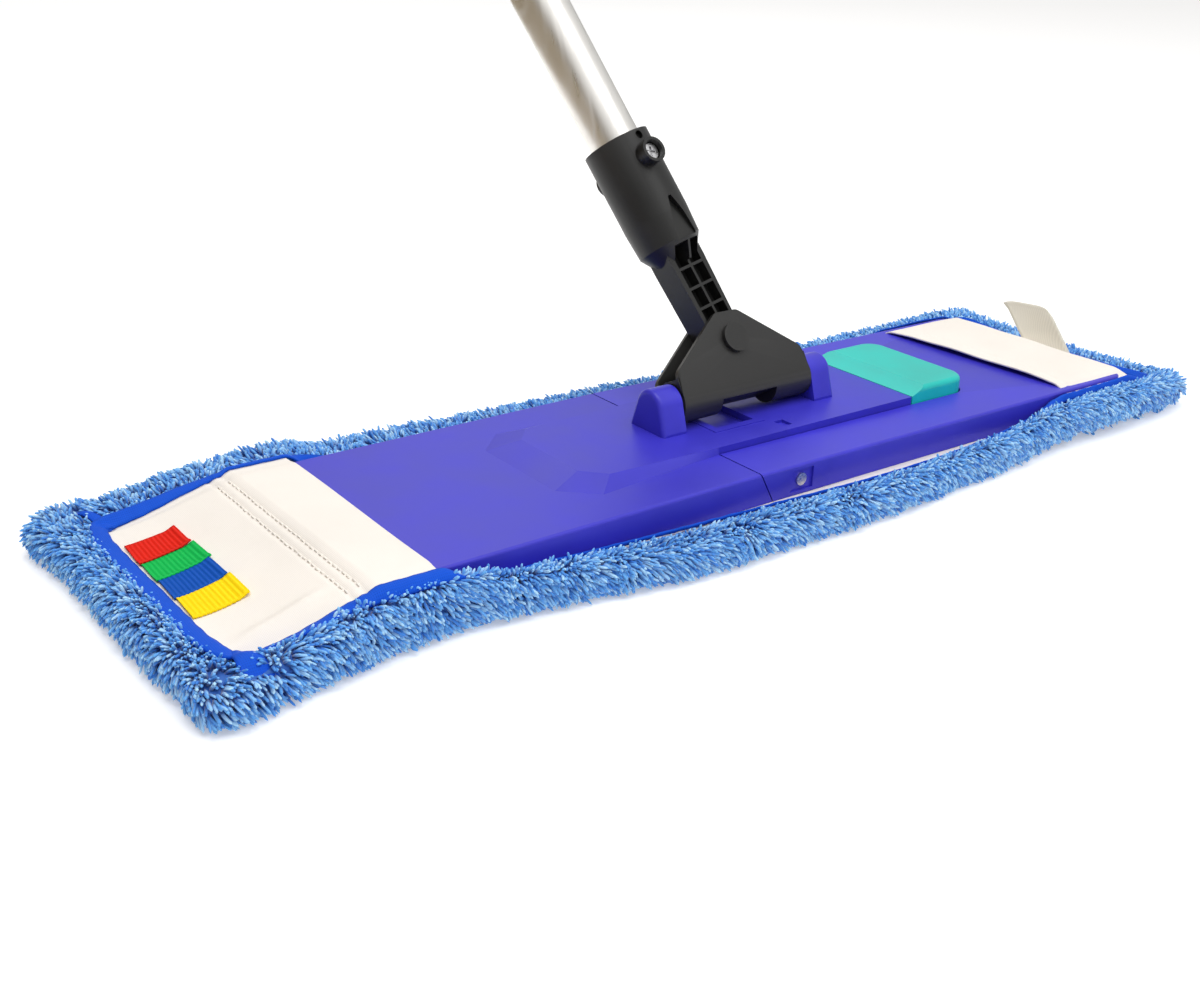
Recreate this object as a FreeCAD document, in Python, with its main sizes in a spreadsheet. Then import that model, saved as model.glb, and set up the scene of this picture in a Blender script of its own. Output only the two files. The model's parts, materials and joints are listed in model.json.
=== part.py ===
import FreeCAD, Part
import math
import os
import re

import Sketcher

# A folding flat mop: a two-plate frame with a foot pedal, a yoke joint, a long tube handle and a
# pocket pad.  The origin is on the floor under the yoke, +X runs along the frame towards the pedal,
# +Y is the side that the handle leans to, and +Z is up.  All sizes are in millimetres.

V = FreeCAD.Vector
doc = FreeCAD.newDocument("FlatMop")

# --------------------------------------------------------------------------- driving dimensions

SIZES = [
    # frame plates
    ("frame_length", 400.0), ("frame_width", 110.0), ("plate_under", 11.0),
    ("plate_top_middle", 24.0), ("plate_top_end", 22.7), ("plate_wall", 2.6),
    ("plate_ceiling", 20.4), ("corner_round", 8.0), ("edge_round", 1.2), ("rib", 2.2),
    ("split_offset", 35.5), ("split_slant", 7.3), ("split_gap", 0.6),
    ("left_cell", 39.85), ("right_cell", 39.0), ("cell_width", 35.67),
    # tongue of the left plate, its channel in the right plate, and the raised field before it
    ("tongue_half_width", 30.0), ("tongue_under", 20.7), ("tongue_top", 26.8), ("tongue_tip", 77.0),
    ("channel_half_width", 30.4), ("channel_floor", 15.5), ("channel_wall", 2.6),
    ("window_left", -25.5), ("window_right", 1.5), ("window_half_width", 17.0),
    ("window_rim", 3.5), ("rim_height", 0.3), ("window_depth", 3.0),
    # fold hinge
    ("hinge_offset", 12.7), ("hinge_height", 17.0), ("hinge_pin_radius", 2.0),
    ("hinge_clearance", 0.05), ("arm_radius", 4.3), ("arm_inner", 43.6), ("arm_width", 6.0),
    ("pin_head_radius", 2.6), ("pin_head_height", 0.8), ("recess_depth", 1.0),
    # foot pedal
    ("pedal_left", 77.6), ("pedal_right", 114.6), ("pedal_half_width", 30.0), ("pedal_under", 17.0),
    ("pedal_top", 30.4), ("pedal_bevel", 8.5), ("pedal_gap", 1.0), ("pedal_round", 9.0),
    ("well_floor", 13.0), ("pedal_pin_place", 86.5), ("pedal_pin_height", 19.5),
    ("pedal_pin_radius", 1.5), ("toe_length", 8.0), ("spring_place", 103.0),
    ("spring_radius", 3.4), ("spring_wire", 0.45), ("spring_turns", 5.0),
    # magnets of the lock
    ("magnet_place", 58.0), ("magnet_side", 18.0), ("magnet_radius", 5.0), ("magnet_height", 3.0),
    ("striker_height", 2.0),
    # yoke and its axle
    ("axle_height", 36.2), ("axle_radius", 3.0), ("axle_half_length", 44.0),
    ("ear_inner", 36.0), ("ear_thickness", 12.0), ("ear_radius", 8.0), ("ear_half_base", 11.0),
    ("barrel_radius", 8.8), ("yoke_half_length", 35.3), ("cheek_thickness", 2.4),
    ("cheek_top", 31.5), ("cheek_top_half", 6.0), ("shoulder_height", 10.6),
    ("shoulder_half", 34.2), ("yoke_lean", 34.0),
    # handle foot and socket
    ("pin_height", 19.5), ("cheek_pin_radius", 4.0), ("pin_head", 6.2), ("pin_head_thick", 2.0),
    ("handle_lean", 12.3), ("foot_half_width", 8.2), ("foot_top_half_width", 9.4),
    ("foot_thickness", 12.6), ("socket_start", 47.0), ("socket_top", 95.0),
    ("socket_radius", 14.5), ("tube_start", 50.0), ("boss_place", 83.4),
    ("boss_radius", 5.4), ("boss_front", 19.6), ("boss_back", 17.6), ("head_seat", 4.1), ("head_depth", 5.0),
    ("bolt_radius", 1.9), ("bolt_head", 3.6), ("nut_corner", 3.9),
    # tube, grip and hanging cap
    ("tube_radius", 11.0), ("tube_wall", 1.2), ("tube_top", 1440.0), ("grip_start", 1318.0),
    ("grip_radius", 14.5), ("cap_plug", 18.0), ("cap_thickness", 10.0), ("hang_radius", 5.0),
    ("cap_height", 30.0),
    # mop pad
    ("pad_left_end", -268.0), ("pad_right_end", 236.0), ("pad_half_width", 76.0),
    ("pad_round", 12.0), ("sole_height", 10.0), ("border_height", 15.0), ("border_width", 17.0),
    ("canvas_half_width", 57.0), ("fold_zone", 31.0), ("flap_thickness", 1.2),
    ("left_flap_edge", -179.0), ("right_flap_edge", 152.0), ("flap_half_width", 55.2),
    ("tab_length", 22.0), ("tab_width", 13.0), ("tab_thickness", 0.8), ("tab_pitch", 14.6),
    ("label_width", 22.0), ("label_height", 25.0), ("label_thickness", 1.0),
]
ALIASES = {name for name, _ in SIZES}

sheet = doc.addObject("Spreadsheet::Sheet", "Sizes")
for row, (name, size) in enumerate(SIZES, start=1):
    sheet.set(f"A{row}", name)
    sheet.set(f"B{row}", str(size))
    sheet.setAlias(f"B{row}", name)
doc.recompute()


def sized(text):
    """Write an expression in the sheet's words: 'frame_width / 2' becomes 'Sizes.frame_width / 2'."""
    def point_to_sheet(match):
        word = match.group()
        return "Sizes." + word if word in ALIASES else word
    return re.sub(r"[a-z_]+", point_to_sheet, str(text))


def value(text):
    return float(sheet.evalExpression(sized(text)))


def bind(thing, prop, text):
    thing.setExpression(prop, sized(text))


# --------------------------------------------------------------------------- sketches and features

def new_body(name):
    body = doc.addObject("PartDesign::Body", name)
    body.Label = name
    return body


def new_sketch(body, plane, offset="0"):
    """A sketch on one of the body's own origin planes, moved along the plane's normal.
    The normals are +Z for XY, +X for YZ and -Y for XZ."""
    origin_plane = next(f for f in body.Origin.OriginFeatures if f.Role == plane + "_Plane")
    sketch = body.newObject("Sketcher::SketchObject", body.Name + "_sketch")
    sketch.AttachmentSupport = [(origin_plane, "")]
    sketch.MapMode = "FlatFace"
    sketch.AttachmentOffset = FreeCAD.Placement(V(0, 0, value(offset)), FreeCAD.Rotation())
    bind(sketch, "AttachmentOffset.Base.z", offset)
    return sketch


def fix(sketch, kind, geometry, point, text):
    """Hold one coordinate or radius of the sketch to an expression."""
    if kind == "Radius":
        number = sketch.addConstraint(Sketcher.Constraint(kind, geometry, value(text)))
    else:
        number = sketch.addConstraint(Sketcher.Constraint(kind, geometry, point, value(text)))
    bind(sketch, f"Constraints[{number}]", text)


def add_polygon(sketch, points):
    corners = [V(value(x), value(y), 0) for x, y in points]
    first = sketch.GeometryCount
    count = len(corners)
    for i in range(count):
        sketch.addGeometry(Part.LineSegment(corners[i], corners[(i + 1) % count]))
    for i in range(count):
        end = first + (i + 1) % count
        sketch.addConstraint(Sketcher.Constraint("Coincident", first + i, 2, end, 1))
    for i, (x, y) in enumerate(points):
        fix(sketch, "DistanceX", first + i, 1, x)
        fix(sketch, "DistanceY", first + i, 1, y)
    return sketch


def add_rectangle(sketch, left, right, low, high):
    return add_polygon(sketch, [(left, low), (right, low), (right, high), (left, high)])


def add_circle(sketch, x, y, radius):
    centre = V(value(x), value(y), 0)
    circle = sketch.addGeometry(Part.Circle(centre, V(0, 0, 1), value(radius)))
    fix(sketch, "DistanceX", circle, 3, x)
    fix(sketch, "DistanceY", circle, 3, y)
    fix(sketch, "Radius", circle, 0, radius)
    return sketch


def add_feature(body, kind, sketch, length, midplane=False, backwards=False):
    """Pad or pocket a sketch, and make sure that it added or removed material."""
    before = body.Shape.Volume if body.Tip else 0.0
    feature = body.newObject("PartDesign::" + kind, body.Name + "_" + kind.lower())
    feature.Profile = sketch
    bind(feature, "Length", length)
    feature.Midplane = midplane
    feature.Reversed = backwards
    doc.recompute()
    change = body.Shape.Volume - before
    if (kind == "Pad") != (change > 0) or abs(change) < 1e-3:
        raise RuntimeError(f"{feature.Name} changed the volume of {body.Name} by {change:.3f}")
    return feature


def pad(body, sketch, length, **options):
    return add_feature(body, "Pad", sketch, length, **options)


def pocket(body, sketch, length, **options):
    return add_feature(body, "Pocket", sketch, length, **options)


def revolve(body, sketch):
    """Turn a sketch on the body's XZ plane about its upright axis."""
    feature = body.newObject("PartDesign::Revolution", body.Name + "_revolution")
    feature.Profile = sketch
    feature.ReferenceAxis = (sketch, ["V_Axis"])
    feature.Angle = 360
    doc.recompute()
    return feature


def round_edges(body, radius, wanted):
    """Fillet the edges of the body's last feature for which wanted(edge) is true."""
    base = body.Tip
    names = [f"Edge{i}" for i, edge in enumerate(base.Shape.Edges, start=1) if wanted(edge)]
    if not names:
        raise RuntimeError("no edge to round on " + body.Name)
    fillet = body.newObject("PartDesign::Fillet", body.Name + "_fillet")
    fillet.Base = (base, names)
    bind(fillet, "Radius", radius)
    doc.recompute()
    if "Invalid" in fillet.State:
        raise RuntimeError(f"{fillet.Name}: {fillet.getStatusString()}")
    return fillet


def near(a, b, slack=0.05):
    return abs(a - b) < slack


def is_upright(edge):
    box = edge.BoundBox
    return box.XLength < 0.05 and box.YLength < 0.05 and box.ZLength > 1.0


def in_plane(edge, axis, place):
    """Whether the whole edge lies in the plane where the axis (x, y or z) has this value."""
    box = edge.BoundBox
    low, high = {"x": (box.XMin, box.XMax), "y": (box.YMin, box.YMax), "z": (box.ZMin, box.ZMax)}[axis]
    return near(low, place) and near(high, place)


def rectangle_grid(sketch, x_start, x_pitch, columns, y_start, y_pitch, rows):
    """Cells with a rib's thickness of material left between them."""
    for column in range(columns):
        for line in range(rows):
            left = f"{x_start} + {column} * {x_pitch}"
            low = f"{y_start} + {line} * {y_pitch}"
            add_rectangle(sketch, left, f"{left} + {x_pitch} - rib", low, f"{low} + {y_pitch} - rib")


# --------------------------------------------------------------------------- places of the leaning parts

def yoke_place():
    """The yoke's frame: origin on the axle, X along it, Z up through the cheeks."""
    return FreeCAD.Placement(V(0, 0, value("axle_height")),
                             FreeCAD.Rotation(V(1, 0, 0), -value("yoke_lean")))


def handle_place():
    """The handle's frame: origin on the cheek pin, Y along the pin, Z up the tube."""
    on_pin = FreeCAD.Placement(V(0, 0, value("pin_height")),
                               FreeCAD.Rotation(V(0, 1, 0), -value("handle_lean")))
    return yoke_place().multiply(on_pin)


# --------------------------------------------------------------------------- left plate

def make_left_plate():
    body = new_body("left_plate")
    side = new_sketch(body, "XZ")
    add_polygon(side, [("-frame_length / 2", "plate_under"),
                       ("-split_offset + split_slant", "plate_under"),
                       ("-split_offset", "plate_top_middle"),
                       ("-frame_length / 2", "plate_top_end")])
    pad(body, side, "frame_width", midplane=True)
    left_end = value("-frame_length / 2")
    round_edges(body, "corner_round", lambda e: is_upright(e) and near(e.CenterOfMass.x, left_end))
    top_end = value("plate_top_end")
    split = value("-split_offset")
    round_edges(body, "edge_round",
                lambda e: e.BoundBox.ZMin > top_end - 0.1 and not in_plane(e, "x", split))

    add_raised_field(body)
    tongue = new_sketch(body, "XY", "tongue_under")
    add_rectangle(tongue, "-split_offset - 1", "tongue_tip", "-tongue_half_width", "tongue_half_width")
    pad(body, tongue, "tongue_top - tongue_under")

    cells = new_sketch(body, "XY", "plate_under")
    rectangle_grid(cells, "-frame_length / 2 + plate_wall", "left_cell", 4,
                   "-frame_width / 2 + plate_wall", "cell_width", 3)
    pocket(body, cells, "plate_ceiling - plate_under", backwards=True)

    add_hinge_arms(body)
    add_ears(body)
    add_window(body)

    strikers = new_sketch(body, "XY", "tongue_under")
    for side_sign in ("-", ""):
        add_circle(strikers, "magnet_place", side_sign + "magnet_side", "magnet_radius")
    pocket(body, strikers, "striker_height", backwards=True)
    return body


def add_raised_field(body):
    """The soft-edged field on the left plate that the tongue grows out of."""
    foot = new_sketch(body, "XY", "plate_top_end - 0.2")
    add_polygon(foot, [("-114", "-25"), ("-100", "-39"), ("-split_offset", "-31"),
                       ("-split_offset", "31"), ("-100", "39"), ("-114", "25")])
    crest = new_sketch(body, "XY", "tongue_top")
    add_polygon(crest, [("-96.5", "-19"), ("-88", "-28"), ("-split_offset", "-tongue_half_width"),
                        ("-split_offset", "tongue_half_width"), ("-88", "28"), ("-96.5", "19")])
    loft = body.newObject("PartDesign::AdditiveLoft", "raised_field")
    loft.Profile = foot
    loft.Sections = [crest]
    doc.recompute()


def add_hinge_arms(body):
    """Two arms that reach under the right plate and carry its hinge pins."""
    for start in ("arm_inner", "-arm_inner - arm_width"):
        arm = new_sketch(body, "XZ", start)
        add_rectangle(arm, "-split_offset - 9", "-hinge_offset",
                      "hinge_height - arm_radius", "hinge_height + arm_radius")
        pad(body, arm, "arm_width")
        knuckle = new_sketch(body, "XZ", start)
        add_circle(knuckle, "-hinge_offset", "hinge_height", "arm_radius")
        pad(body, knuckle, "arm_width")
    bore = new_sketch(body, "XZ")
    add_circle(bore, "-hinge_offset", "hinge_height", "hinge_pin_radius + hinge_clearance")
    pocket(body, bore, "frame_width", midplane=True)


def add_ears(body):
    """Two ears that hold the ends of the yoke axle."""
    for start in ("-ear_inner - ear_thickness", "ear_inner"):
        web = new_sketch(body, "YZ", start)
        add_polygon(web, [("-ear_half_base", "tongue_top - 2"), ("ear_half_base", "tongue_top - 2"),
                          ("ear_half_base", "tongue_top + 1"), ("ear_radius - 0.15", "axle_height + 1.4"),
                          ("-ear_radius + 0.15", "axle_height + 1.4"), ("-ear_half_base", "tongue_top + 1")])
        pad(body, web, "ear_thickness")
        crown = new_sketch(body, "YZ", start)
        add_circle(crown, "0", "axle_height", "ear_radius")
        pad(body, crown, "ear_thickness")
    outer = value("ear_inner + ear_thickness")
    top = value("tongue_top")
    round_edges(body, "2", lambda e: (in_plane(e, "x", outer) or in_plane(e, "x", -outer))
                and e.BoundBox.ZMin > top + 0.9)
    bore = new_sketch(body, "YZ")
    add_circle(bore, "0", "axle_height", "axle_radius")
    pocket(body, bore, "2 * axle_half_length", midplane=True)


def add_window(body):
    """The rimmed window under the yoke and the small hollow beside it."""
    rim = new_sketch(body, "XY", "tongue_top")
    add_rectangle(rim, "window_left", "window_right", "-window_half_width", "window_half_width")
    pad(body, rim, "rim_height")
    well = new_sketch(body, "XY", "tongue_top + rim_height")
    add_rectangle(well, "window_left + window_rim", "window_right - window_rim",
                  "-window_half_width + window_rim", "window_half_width - window_rim")
    pocket(body, well, "window_depth")
    hollow = new_sketch(body, "XY", "tongue_top")
    add_rectangle(hollow, "window_right + 2", "window_right + 7", "-26", "-20")
    pocket(body, hollow, "1.2")


# --------------------------------------------------------------------------- right plate

def make_right_plate():
    body = new_body("right_plate")
    side = new_sketch(body, "XZ")
    add_polygon(side, [("-split_offset + split_slant + split_gap", "plate_under"),
                       ("frame_length / 2", "plate_under"),
                       ("frame_length / 2", "plate_top_end"),
                       ("-split_offset + split_gap", "plate_top_middle")])
    pad(body, side, "frame_width", midplane=True)
    right_end = value("frame_length / 2")
    round_edges(body, "corner_round", lambda e: is_upright(e) and near(e.CenterOfMass.x, right_end))
    top_end = value("plate_top_end")
    split = value("-split_offset + split_gap")
    round_edges(body, "edge_round",
                lambda e: e.BoundBox.ZMin > top_end - 0.1 and not in_plane(e, "x", split))

    add_channel(body)
    add_right_cells(body)
    add_pin_seats(body)
    add_magnet_cups(body)
    return body


def add_channel(body):
    """The channel that the tongue lies in, open below at the hinge, and the pedal's well."""
    channel = new_sketch(body, "XY", "channel_floor")
    add_rectangle(channel, "-split_offset - 1", "pedal_left + 2",
                  "-channel_half_width", "channel_half_width")
    pocket(body, channel, "20", backwards=True)
    opening = new_sketch(body, "XY", "plate_under - 1")
    add_rectangle(opening, "-split_offset - 1", "-1", "-channel_half_width", "channel_half_width")
    pocket(body, opening, "20", backwards=True)
    well = new_sketch(body, "XY", "well_floor")
    add_rectangle(well, "pedal_left", "pedal_right + pedal_gap",
                  "-channel_half_width", "channel_half_width")
    pocket(body, well, "20", backwards=True)
    well_end = value("pedal_right + pedal_gap")
    round_edges(body, "pedal_round + 0.6", lambda e: is_upright(e) and near(e.CenterOfMass.x, well_end))


def add_right_cells(body):
    """Hollows under the right plate: beside the channel, where the hinge arms need room,
    and in the plain end behind the pedal."""
    side_cells = new_sketch(body, "XY", "plate_under")
    outer = "frame_width / 2 - plate_wall"
    inner = "channel_half_width + channel_wall"
    spans = [("-split_offset - 1", "-1"), ("-1 + rib", "right_cell"),
             ("right_cell + rib", "2 * right_cell"), ("2 * right_cell + rib", "3 * right_cell")]
    for left, right in spans:
        add_rectangle(side_cells, left, right, inner, outer)
        add_rectangle(side_cells, left, right, "-(" + outer + ")", "-(" + inner + ")")
    pocket(body, side_cells, "plate_ceiling + 1 - plate_under", backwards=True)
    end_cells = new_sketch(body, "XY", "plate_under")
    rectangle_grid(end_cells, "3 * right_cell + rib", "right_cell", 2,
                   "-frame_width / 2 + plate_wall", "cell_width", 3)
    pocket(body, end_cells, "plate_ceiling - plate_under", backwards=True)


def add_pin_seats(body):
    """Inner webs and bores for the hinge pins, and a recess round each pin's head."""
    for start in ("arm_inner - 3.2", "-arm_inner + 0.6"):
        web = new_sketch(body, "XZ", start)
        add_rectangle(web, "-hinge_offset - 6", "-hinge_offset + 6", "hinge_height - 4", "plate_ceiling + 1.5")
        pad(body, web, "2.6")
    for start, backwards in (("frame_width / 2", False), ("-frame_width / 2", True)):
        recess = new_sketch(body, "XZ", start)
        add_rectangle(recess, "-hinge_offset - 6", "-hinge_offset + 6", "hinge_height - 4.5", "hinge_height + 4.5")
        pocket(body, recess, "recess_depth", backwards=backwards)
    for start, backwards in (("frame_width / 2", False), ("-frame_width / 2", True)):
        bore = new_sketch(body, "XZ", start)
        add_circle(bore, "-hinge_offset", "hinge_height", "hinge_pin_radius")
        pocket(body, bore, "frame_width / 2 - arm_inner + 3.3", backwards=backwards)
    pedal_bore = new_sketch(body, "XZ")
    add_circle(pedal_bore, "pedal_pin_place", "pedal_pin_height", "pedal_pin_radius")
    pocket(body, pedal_bore, "2 * (channel_half_width + channel_wall)", midplane=True)


def add_magnet_cups(body):
    for side_sign in ("-", ""):
        cup = new_sketch(body, "XY", "channel_floor - 1")
        add_circle(cup, "magnet_place", side_sign + "magnet_side", "magnet_radius + 1.5")
        pad(body, cup, "5")
    seats = new_sketch(body, "XY", "channel_floor + 4")
    for side_sign in ("-", ""):
        add_circle(seats, "magnet_place", side_sign + "magnet_side", "magnet_radius")
    pocket(body, seats, "magnet_height")


# --------------------------------------------------------------------------- pedal

def make_pedal():
    """A rocking pedal with a rounded right side; its toe reaches under the tongue's tip."""
    body = new_body("pedal")
    side = new_sketch(body, "XZ")
    add_polygon(side, [("pedal_left", "pedal_under"), ("pedal_right", "pedal_under"),
                       ("pedal_right", "pedal_top"), ("pedal_left + pedal_bevel", "pedal_top"),
                       ("pedal_left", "tongue_top")])
    pad(body, side, "2 * pedal_half_width", midplane=True)
    right_side = value("pedal_right")
    round_edges(body, "pedal_round", lambda e: is_upright(e) and near(e.CenterOfMass.x, right_side))
    top = value("pedal_top")
    ridge = value("pedal_left + pedal_bevel")
    round_edges(body, "2.4", lambda e: in_plane(e, "z", top) and not in_plane(e, "x", ridge))
    toe = new_sketch(body, "XY", "pedal_under - 1")
    add_rectangle(toe, "pedal_left - toe_length", "pedal_left + 4", "-24", "24")
    pad(body, toe, "2.4")
    cavity = new_sketch(body, "XY", "pedal_under")
    add_rectangle(cavity, "pedal_pin_place + 6", "pedal_right - 2.4", "-20", "20")
    pocket(body, cavity, "11", backwards=True)
    bore = new_sketch(body, "XZ")
    add_circle(bore, "pedal_pin_place", "pedal_pin_height", "pedal_pin_radius + hinge_clearance")
    pocket(body, bore, "2 * pedal_half_width + 4", midplane=True)
    return body


def make_pedal_spring():
    body = new_body("pedal_spring")
    wire = new_sketch(body, "XZ")
    add_circle(wire, "spring_radius", "spring_wire", "spring_wire")
    coil = body.newObject("PartDesign::AdditiveHelix", "coil")
    coil.Profile = wire
    coil.ReferenceAxis = (wire, ["V_Axis"])
    coil.Mode = "height-turns-growth"
    bind(coil, "Height", "pedal_under + 11 - well_floor - 2 * spring_wire - 0.1")
    bind(coil, "Turns", "spring_turns")
    coil.Reversed = False
    body.Placement = FreeCAD.Placement(V(value("spring_place"), 0, value("well_floor + 0.05")),
                                       FreeCAD.Rotation())
    doc.recompute()
    return body


# --------------------------------------------------------------------------- round pins and discs

def make_cylinder(name, radius, length, place):
    cylinder = doc.addObject("Part::Cylinder", name)
    cylinder.Label = name
    bind(cylinder, "Radius", radius)
    bind(cylinder, "Height", length)
    cylinder.Placement = place
    return cylinder


def make_group(name, pieces, place=None):
    """One node of several solids, or of one solid joined from several shapes."""
    group = doc.addObject("Part::MultiFuse", name)
    group.Label = name
    group.Shapes = pieces
    group.Refine = True
    if place is not None:
        group.Placement = place
    doc.recompute()
    return group


def make_hinge_pins():
    """A headed pin on each side of the frame; each is pushed in from outside."""
    pins = []
    for name, outward in (("hinge_pin_front", -1), ("hinge_pin_rear", 1)):
        inward = FreeCAD.Rotation(V(1, 0, 0), 90 * outward)
        seat = outward * value("frame_width / 2 - recess_depth")
        place = V(-value("hinge_offset"), seat, value("hinge_height"))
        shaft = make_cylinder(name + "_shaft", "hinge_pin_radius",
                              "frame_width / 2 - recess_depth - arm_inner + 3",
                              FreeCAD.Placement(place, inward))
        head_start = V(place.x, seat + outward * value("pin_head_height"), place.z)
        head = make_cylinder(name + "_head", "pin_head_radius", "pin_head_height",
                             FreeCAD.Placement(head_start, inward))
        pins.append(make_group(name, [shaft, head]))
    return pins


def make_discs(name, radius, height, low):
    """A pair of discs at the places of the lock's magnets."""
    discs = []
    for number, side_sign in enumerate((-1, 1)):
        place = V(value("magnet_place"), side_sign * value("magnet_side"), value(low))
        discs.append(make_cylinder(f"{name}_{number}", radius, height,
                                   FreeCAD.Placement(place, FreeCAD.Rotation())))
    return make_group(name, discs)


def make_pedal_pin():
    along_y = FreeCAD.Rotation(V(1, 0, 0), -90)
    half = value("channel_half_width + channel_wall")
    start = V(value("pedal_pin_place"), -half, value("pedal_pin_height"))
    return make_cylinder("pedal_pin", "pedal_pin_radius", "2 * (channel_half_width + channel_wall)",
                         FreeCAD.Placement(start, along_y))


def make_yoke_axle():
    along_x = FreeCAD.Rotation(V(0, 1, 0), 90)
    start = V(-value("axle_half_length"), 0, value("axle_height"))
    return make_cylinder("yoke_axle", "axle_radius", "2 * axle_half_length",
                         FreeCAD.Placement(start, along_x))


# --------------------------------------------------------------------------- yoke

def make_yoke():
    """A barrel on the axle with two triangular cheeks that hold the handle's foot."""
    body = new_body("yoke")
    barrel = new_sketch(body, "YZ")
    add_circle(barrel, "0", "0", "barrel_radius")
    pad(body, barrel, "2 * yoke_half_length", midplane=True)
    for start in ("barrel_radius - cheek_thickness", "-barrel_radius"):
        cheek = new_sketch(body, "XZ", start)
        add_polygon(cheek, [("-yoke_half_length", "0"), ("yoke_half_length", "0"),
                            ("shoulder_half", "shoulder_height"), ("cheek_top_half", "cheek_top"),
                            ("-cheek_top_half", "cheek_top"), ("-shoulder_half", "shoulder_height")])
        pad(body, cheek, "cheek_thickness")
    top = value("cheek_top")
    shoulder = value("shoulder_height")
    for height, radius in ((top, "4"), (shoulder, "5")):
        round_edges(body, radius, lambda e, height=height: near(e.CenterOfMass.z, height)
                    and e.BoundBox.XLength < 0.05 and e.BoundBox.ZLength < 0.05)
    add_cheek_webs(body)
    notch = new_sketch(body, "XZ")
    add_rectangle(notch, "-15", "15", "-barrel_radius - 1", "-4.4")
    pocket(body, notch, "4 * barrel_radius", midplane=True)
    pin_bore = new_sketch(body, "XZ")
    add_circle(pin_bore, "0", "pin_height", "cheek_pin_radius")
    pocket(body, pin_bore, "4 * barrel_radius", midplane=True)
    axle_bore = new_sketch(body, "YZ")
    add_circle(axle_bore, "0", "0", "axle_radius + hinge_clearance")
    pocket(body, axle_bore, "4 * yoke_half_length", midplane=True)
    body.Placement = yoke_place()
    return body


def add_cheek_webs(body):
    """A low web at each end of the yoke ties the cheeks together."""
    for start in ("-yoke_half_length", "yoke_half_length - 3"):
        web = new_sketch(body, "YZ", start)
        add_rectangle(web, "-barrel_radius + 0.3", "barrel_radius - 0.3", "0", "8")
        pad(body, web, "3")


def make_cheek_pin():
    """The rivet through the cheeks: a broad head in front and a pressed-on cap behind."""
    place = yoke_place().multiply(FreeCAD.Placement(V(0, 0, value("pin_height")), FreeCAD.Rotation()))
    along_y = FreeCAD.Rotation(V(1, 0, 0), -90)
    face = value("barrel_radius")
    head = make_cylinder("cheek_pin_head", "pin_head", "pin_head_thick",
                         FreeCAD.Placement(V(0, -face - value("pin_head_thick"), 0), along_y))
    shaft = make_cylinder("cheek_pin_shaft", "cheek_pin_radius", "2 * barrel_radius + 1.5",
                          FreeCAD.Placement(V(0, -face, 0), along_y))
    pin = make_group("cheek_pin", [head, shaft], place)
    ring = make_cylinder("cap_ring", "pin_head - 0.8", "2", FreeCAD.Placement(V(0, face, 0), along_y))
    hole = make_cylinder("cap_hole", "cheek_pin_radius", "1.5", FreeCAD.Placement(V(0, face, 0), along_y))
    cap = doc.addObject("Part::Cut", "cheek_pin_cap")
    cap.Label = "cheek_pin_cap"
    cap.Base, cap.Tool = ring, hole
    cap.Placement = place
    return [pin, cap]


# --------------------------------------------------------------------------- handle

def make_handle_socket():
    """The foot between the cheeks and the socket round the tube, moulded in one."""
    body = new_body("handle_socket")
    foot = new_sketch(body, "XZ")
    add_polygon(foot, [("-foot_half_width", "0"), ("foot_half_width", "0"),
                       ("foot_top_half_width", "38"), ("foot_top_half_width", "socket_start + 2"),
                       ("-foot_top_half_width", "socket_start + 2"), ("-foot_top_half_width", "38")])
    pad(body, foot, "foot_thickness", midplane=True)
    toe = new_sketch(body, "XZ")
    add_circle(toe, "0", "0", "foot_half_width")
    pad(body, toe, "foot_thickness", midplane=True)
    barrel = new_sketch(body, "XZ")
    add_polygon(barrel, [("0", "38"), ("8.2", "38"), ("socket_radius - 0.6", "socket_start"),
                         ("socket_radius", "socket_start + 12"), ("socket_radius", "socket_top"),
                         ("0", "socket_top")])
    revolve(body, barrel)
    add_bolt_bosses(body)
    bore = new_sketch(body, "XY", "tube_start")
    add_circle(bore, "0", "0", "tube_radius")
    pocket(body, bore, "100", backwards=True)
    add_bolt_seats(body)
    add_foot_pockets(body)
    pin_bore = new_sketch(body, "XZ")
    add_circle(pin_bore, "0", "0", "cheek_pin_radius + hinge_clearance")
    pocket(body, pin_bore, "40", midplane=True)
    body.Placement = handle_place()
    return body


def add_bolt_bosses(body):
    """A boss in front of the socket and one behind it, for the bolt that holds the tube."""
    boss = new_sketch(body, "XZ", "-boss_back")
    add_circle(boss, "0", "boss_place", "boss_radius")
    pad(body, boss, "boss_front + boss_back")


def add_bolt_seats(body):
    """The bolt's hole, the round seat for its head in front and the six-sided one for its nut behind."""
    hole = new_sketch(body, "XZ")
    add_circle(hole, "0", "boss_place", "bolt_radius")
    pocket(body, hole, "60", midplane=True)
    seat = new_sketch(body, "XZ", "boss_front")
    add_circle(seat, "0", "boss_place", "head_seat")
    pocket(body, seat, "head_depth")
    nut_seat = new_sketch(body, "XZ", "-boss_back")
    add_polygon(nut_seat, hexagon("0", "boss_place", value("nut_corner + 0.05")))
    pocket(body, nut_seat, "2.8", backwards=True)


def hexagon(x, y, radius):
    corners = []
    for step in range(6):
        angle = math.radians(60 * step + 30)
        corners.append((f"{x} + {radius * math.cos(angle):.4f}", f"{y} + {radius * math.sin(angle):.4f}"))
    return corners


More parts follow.
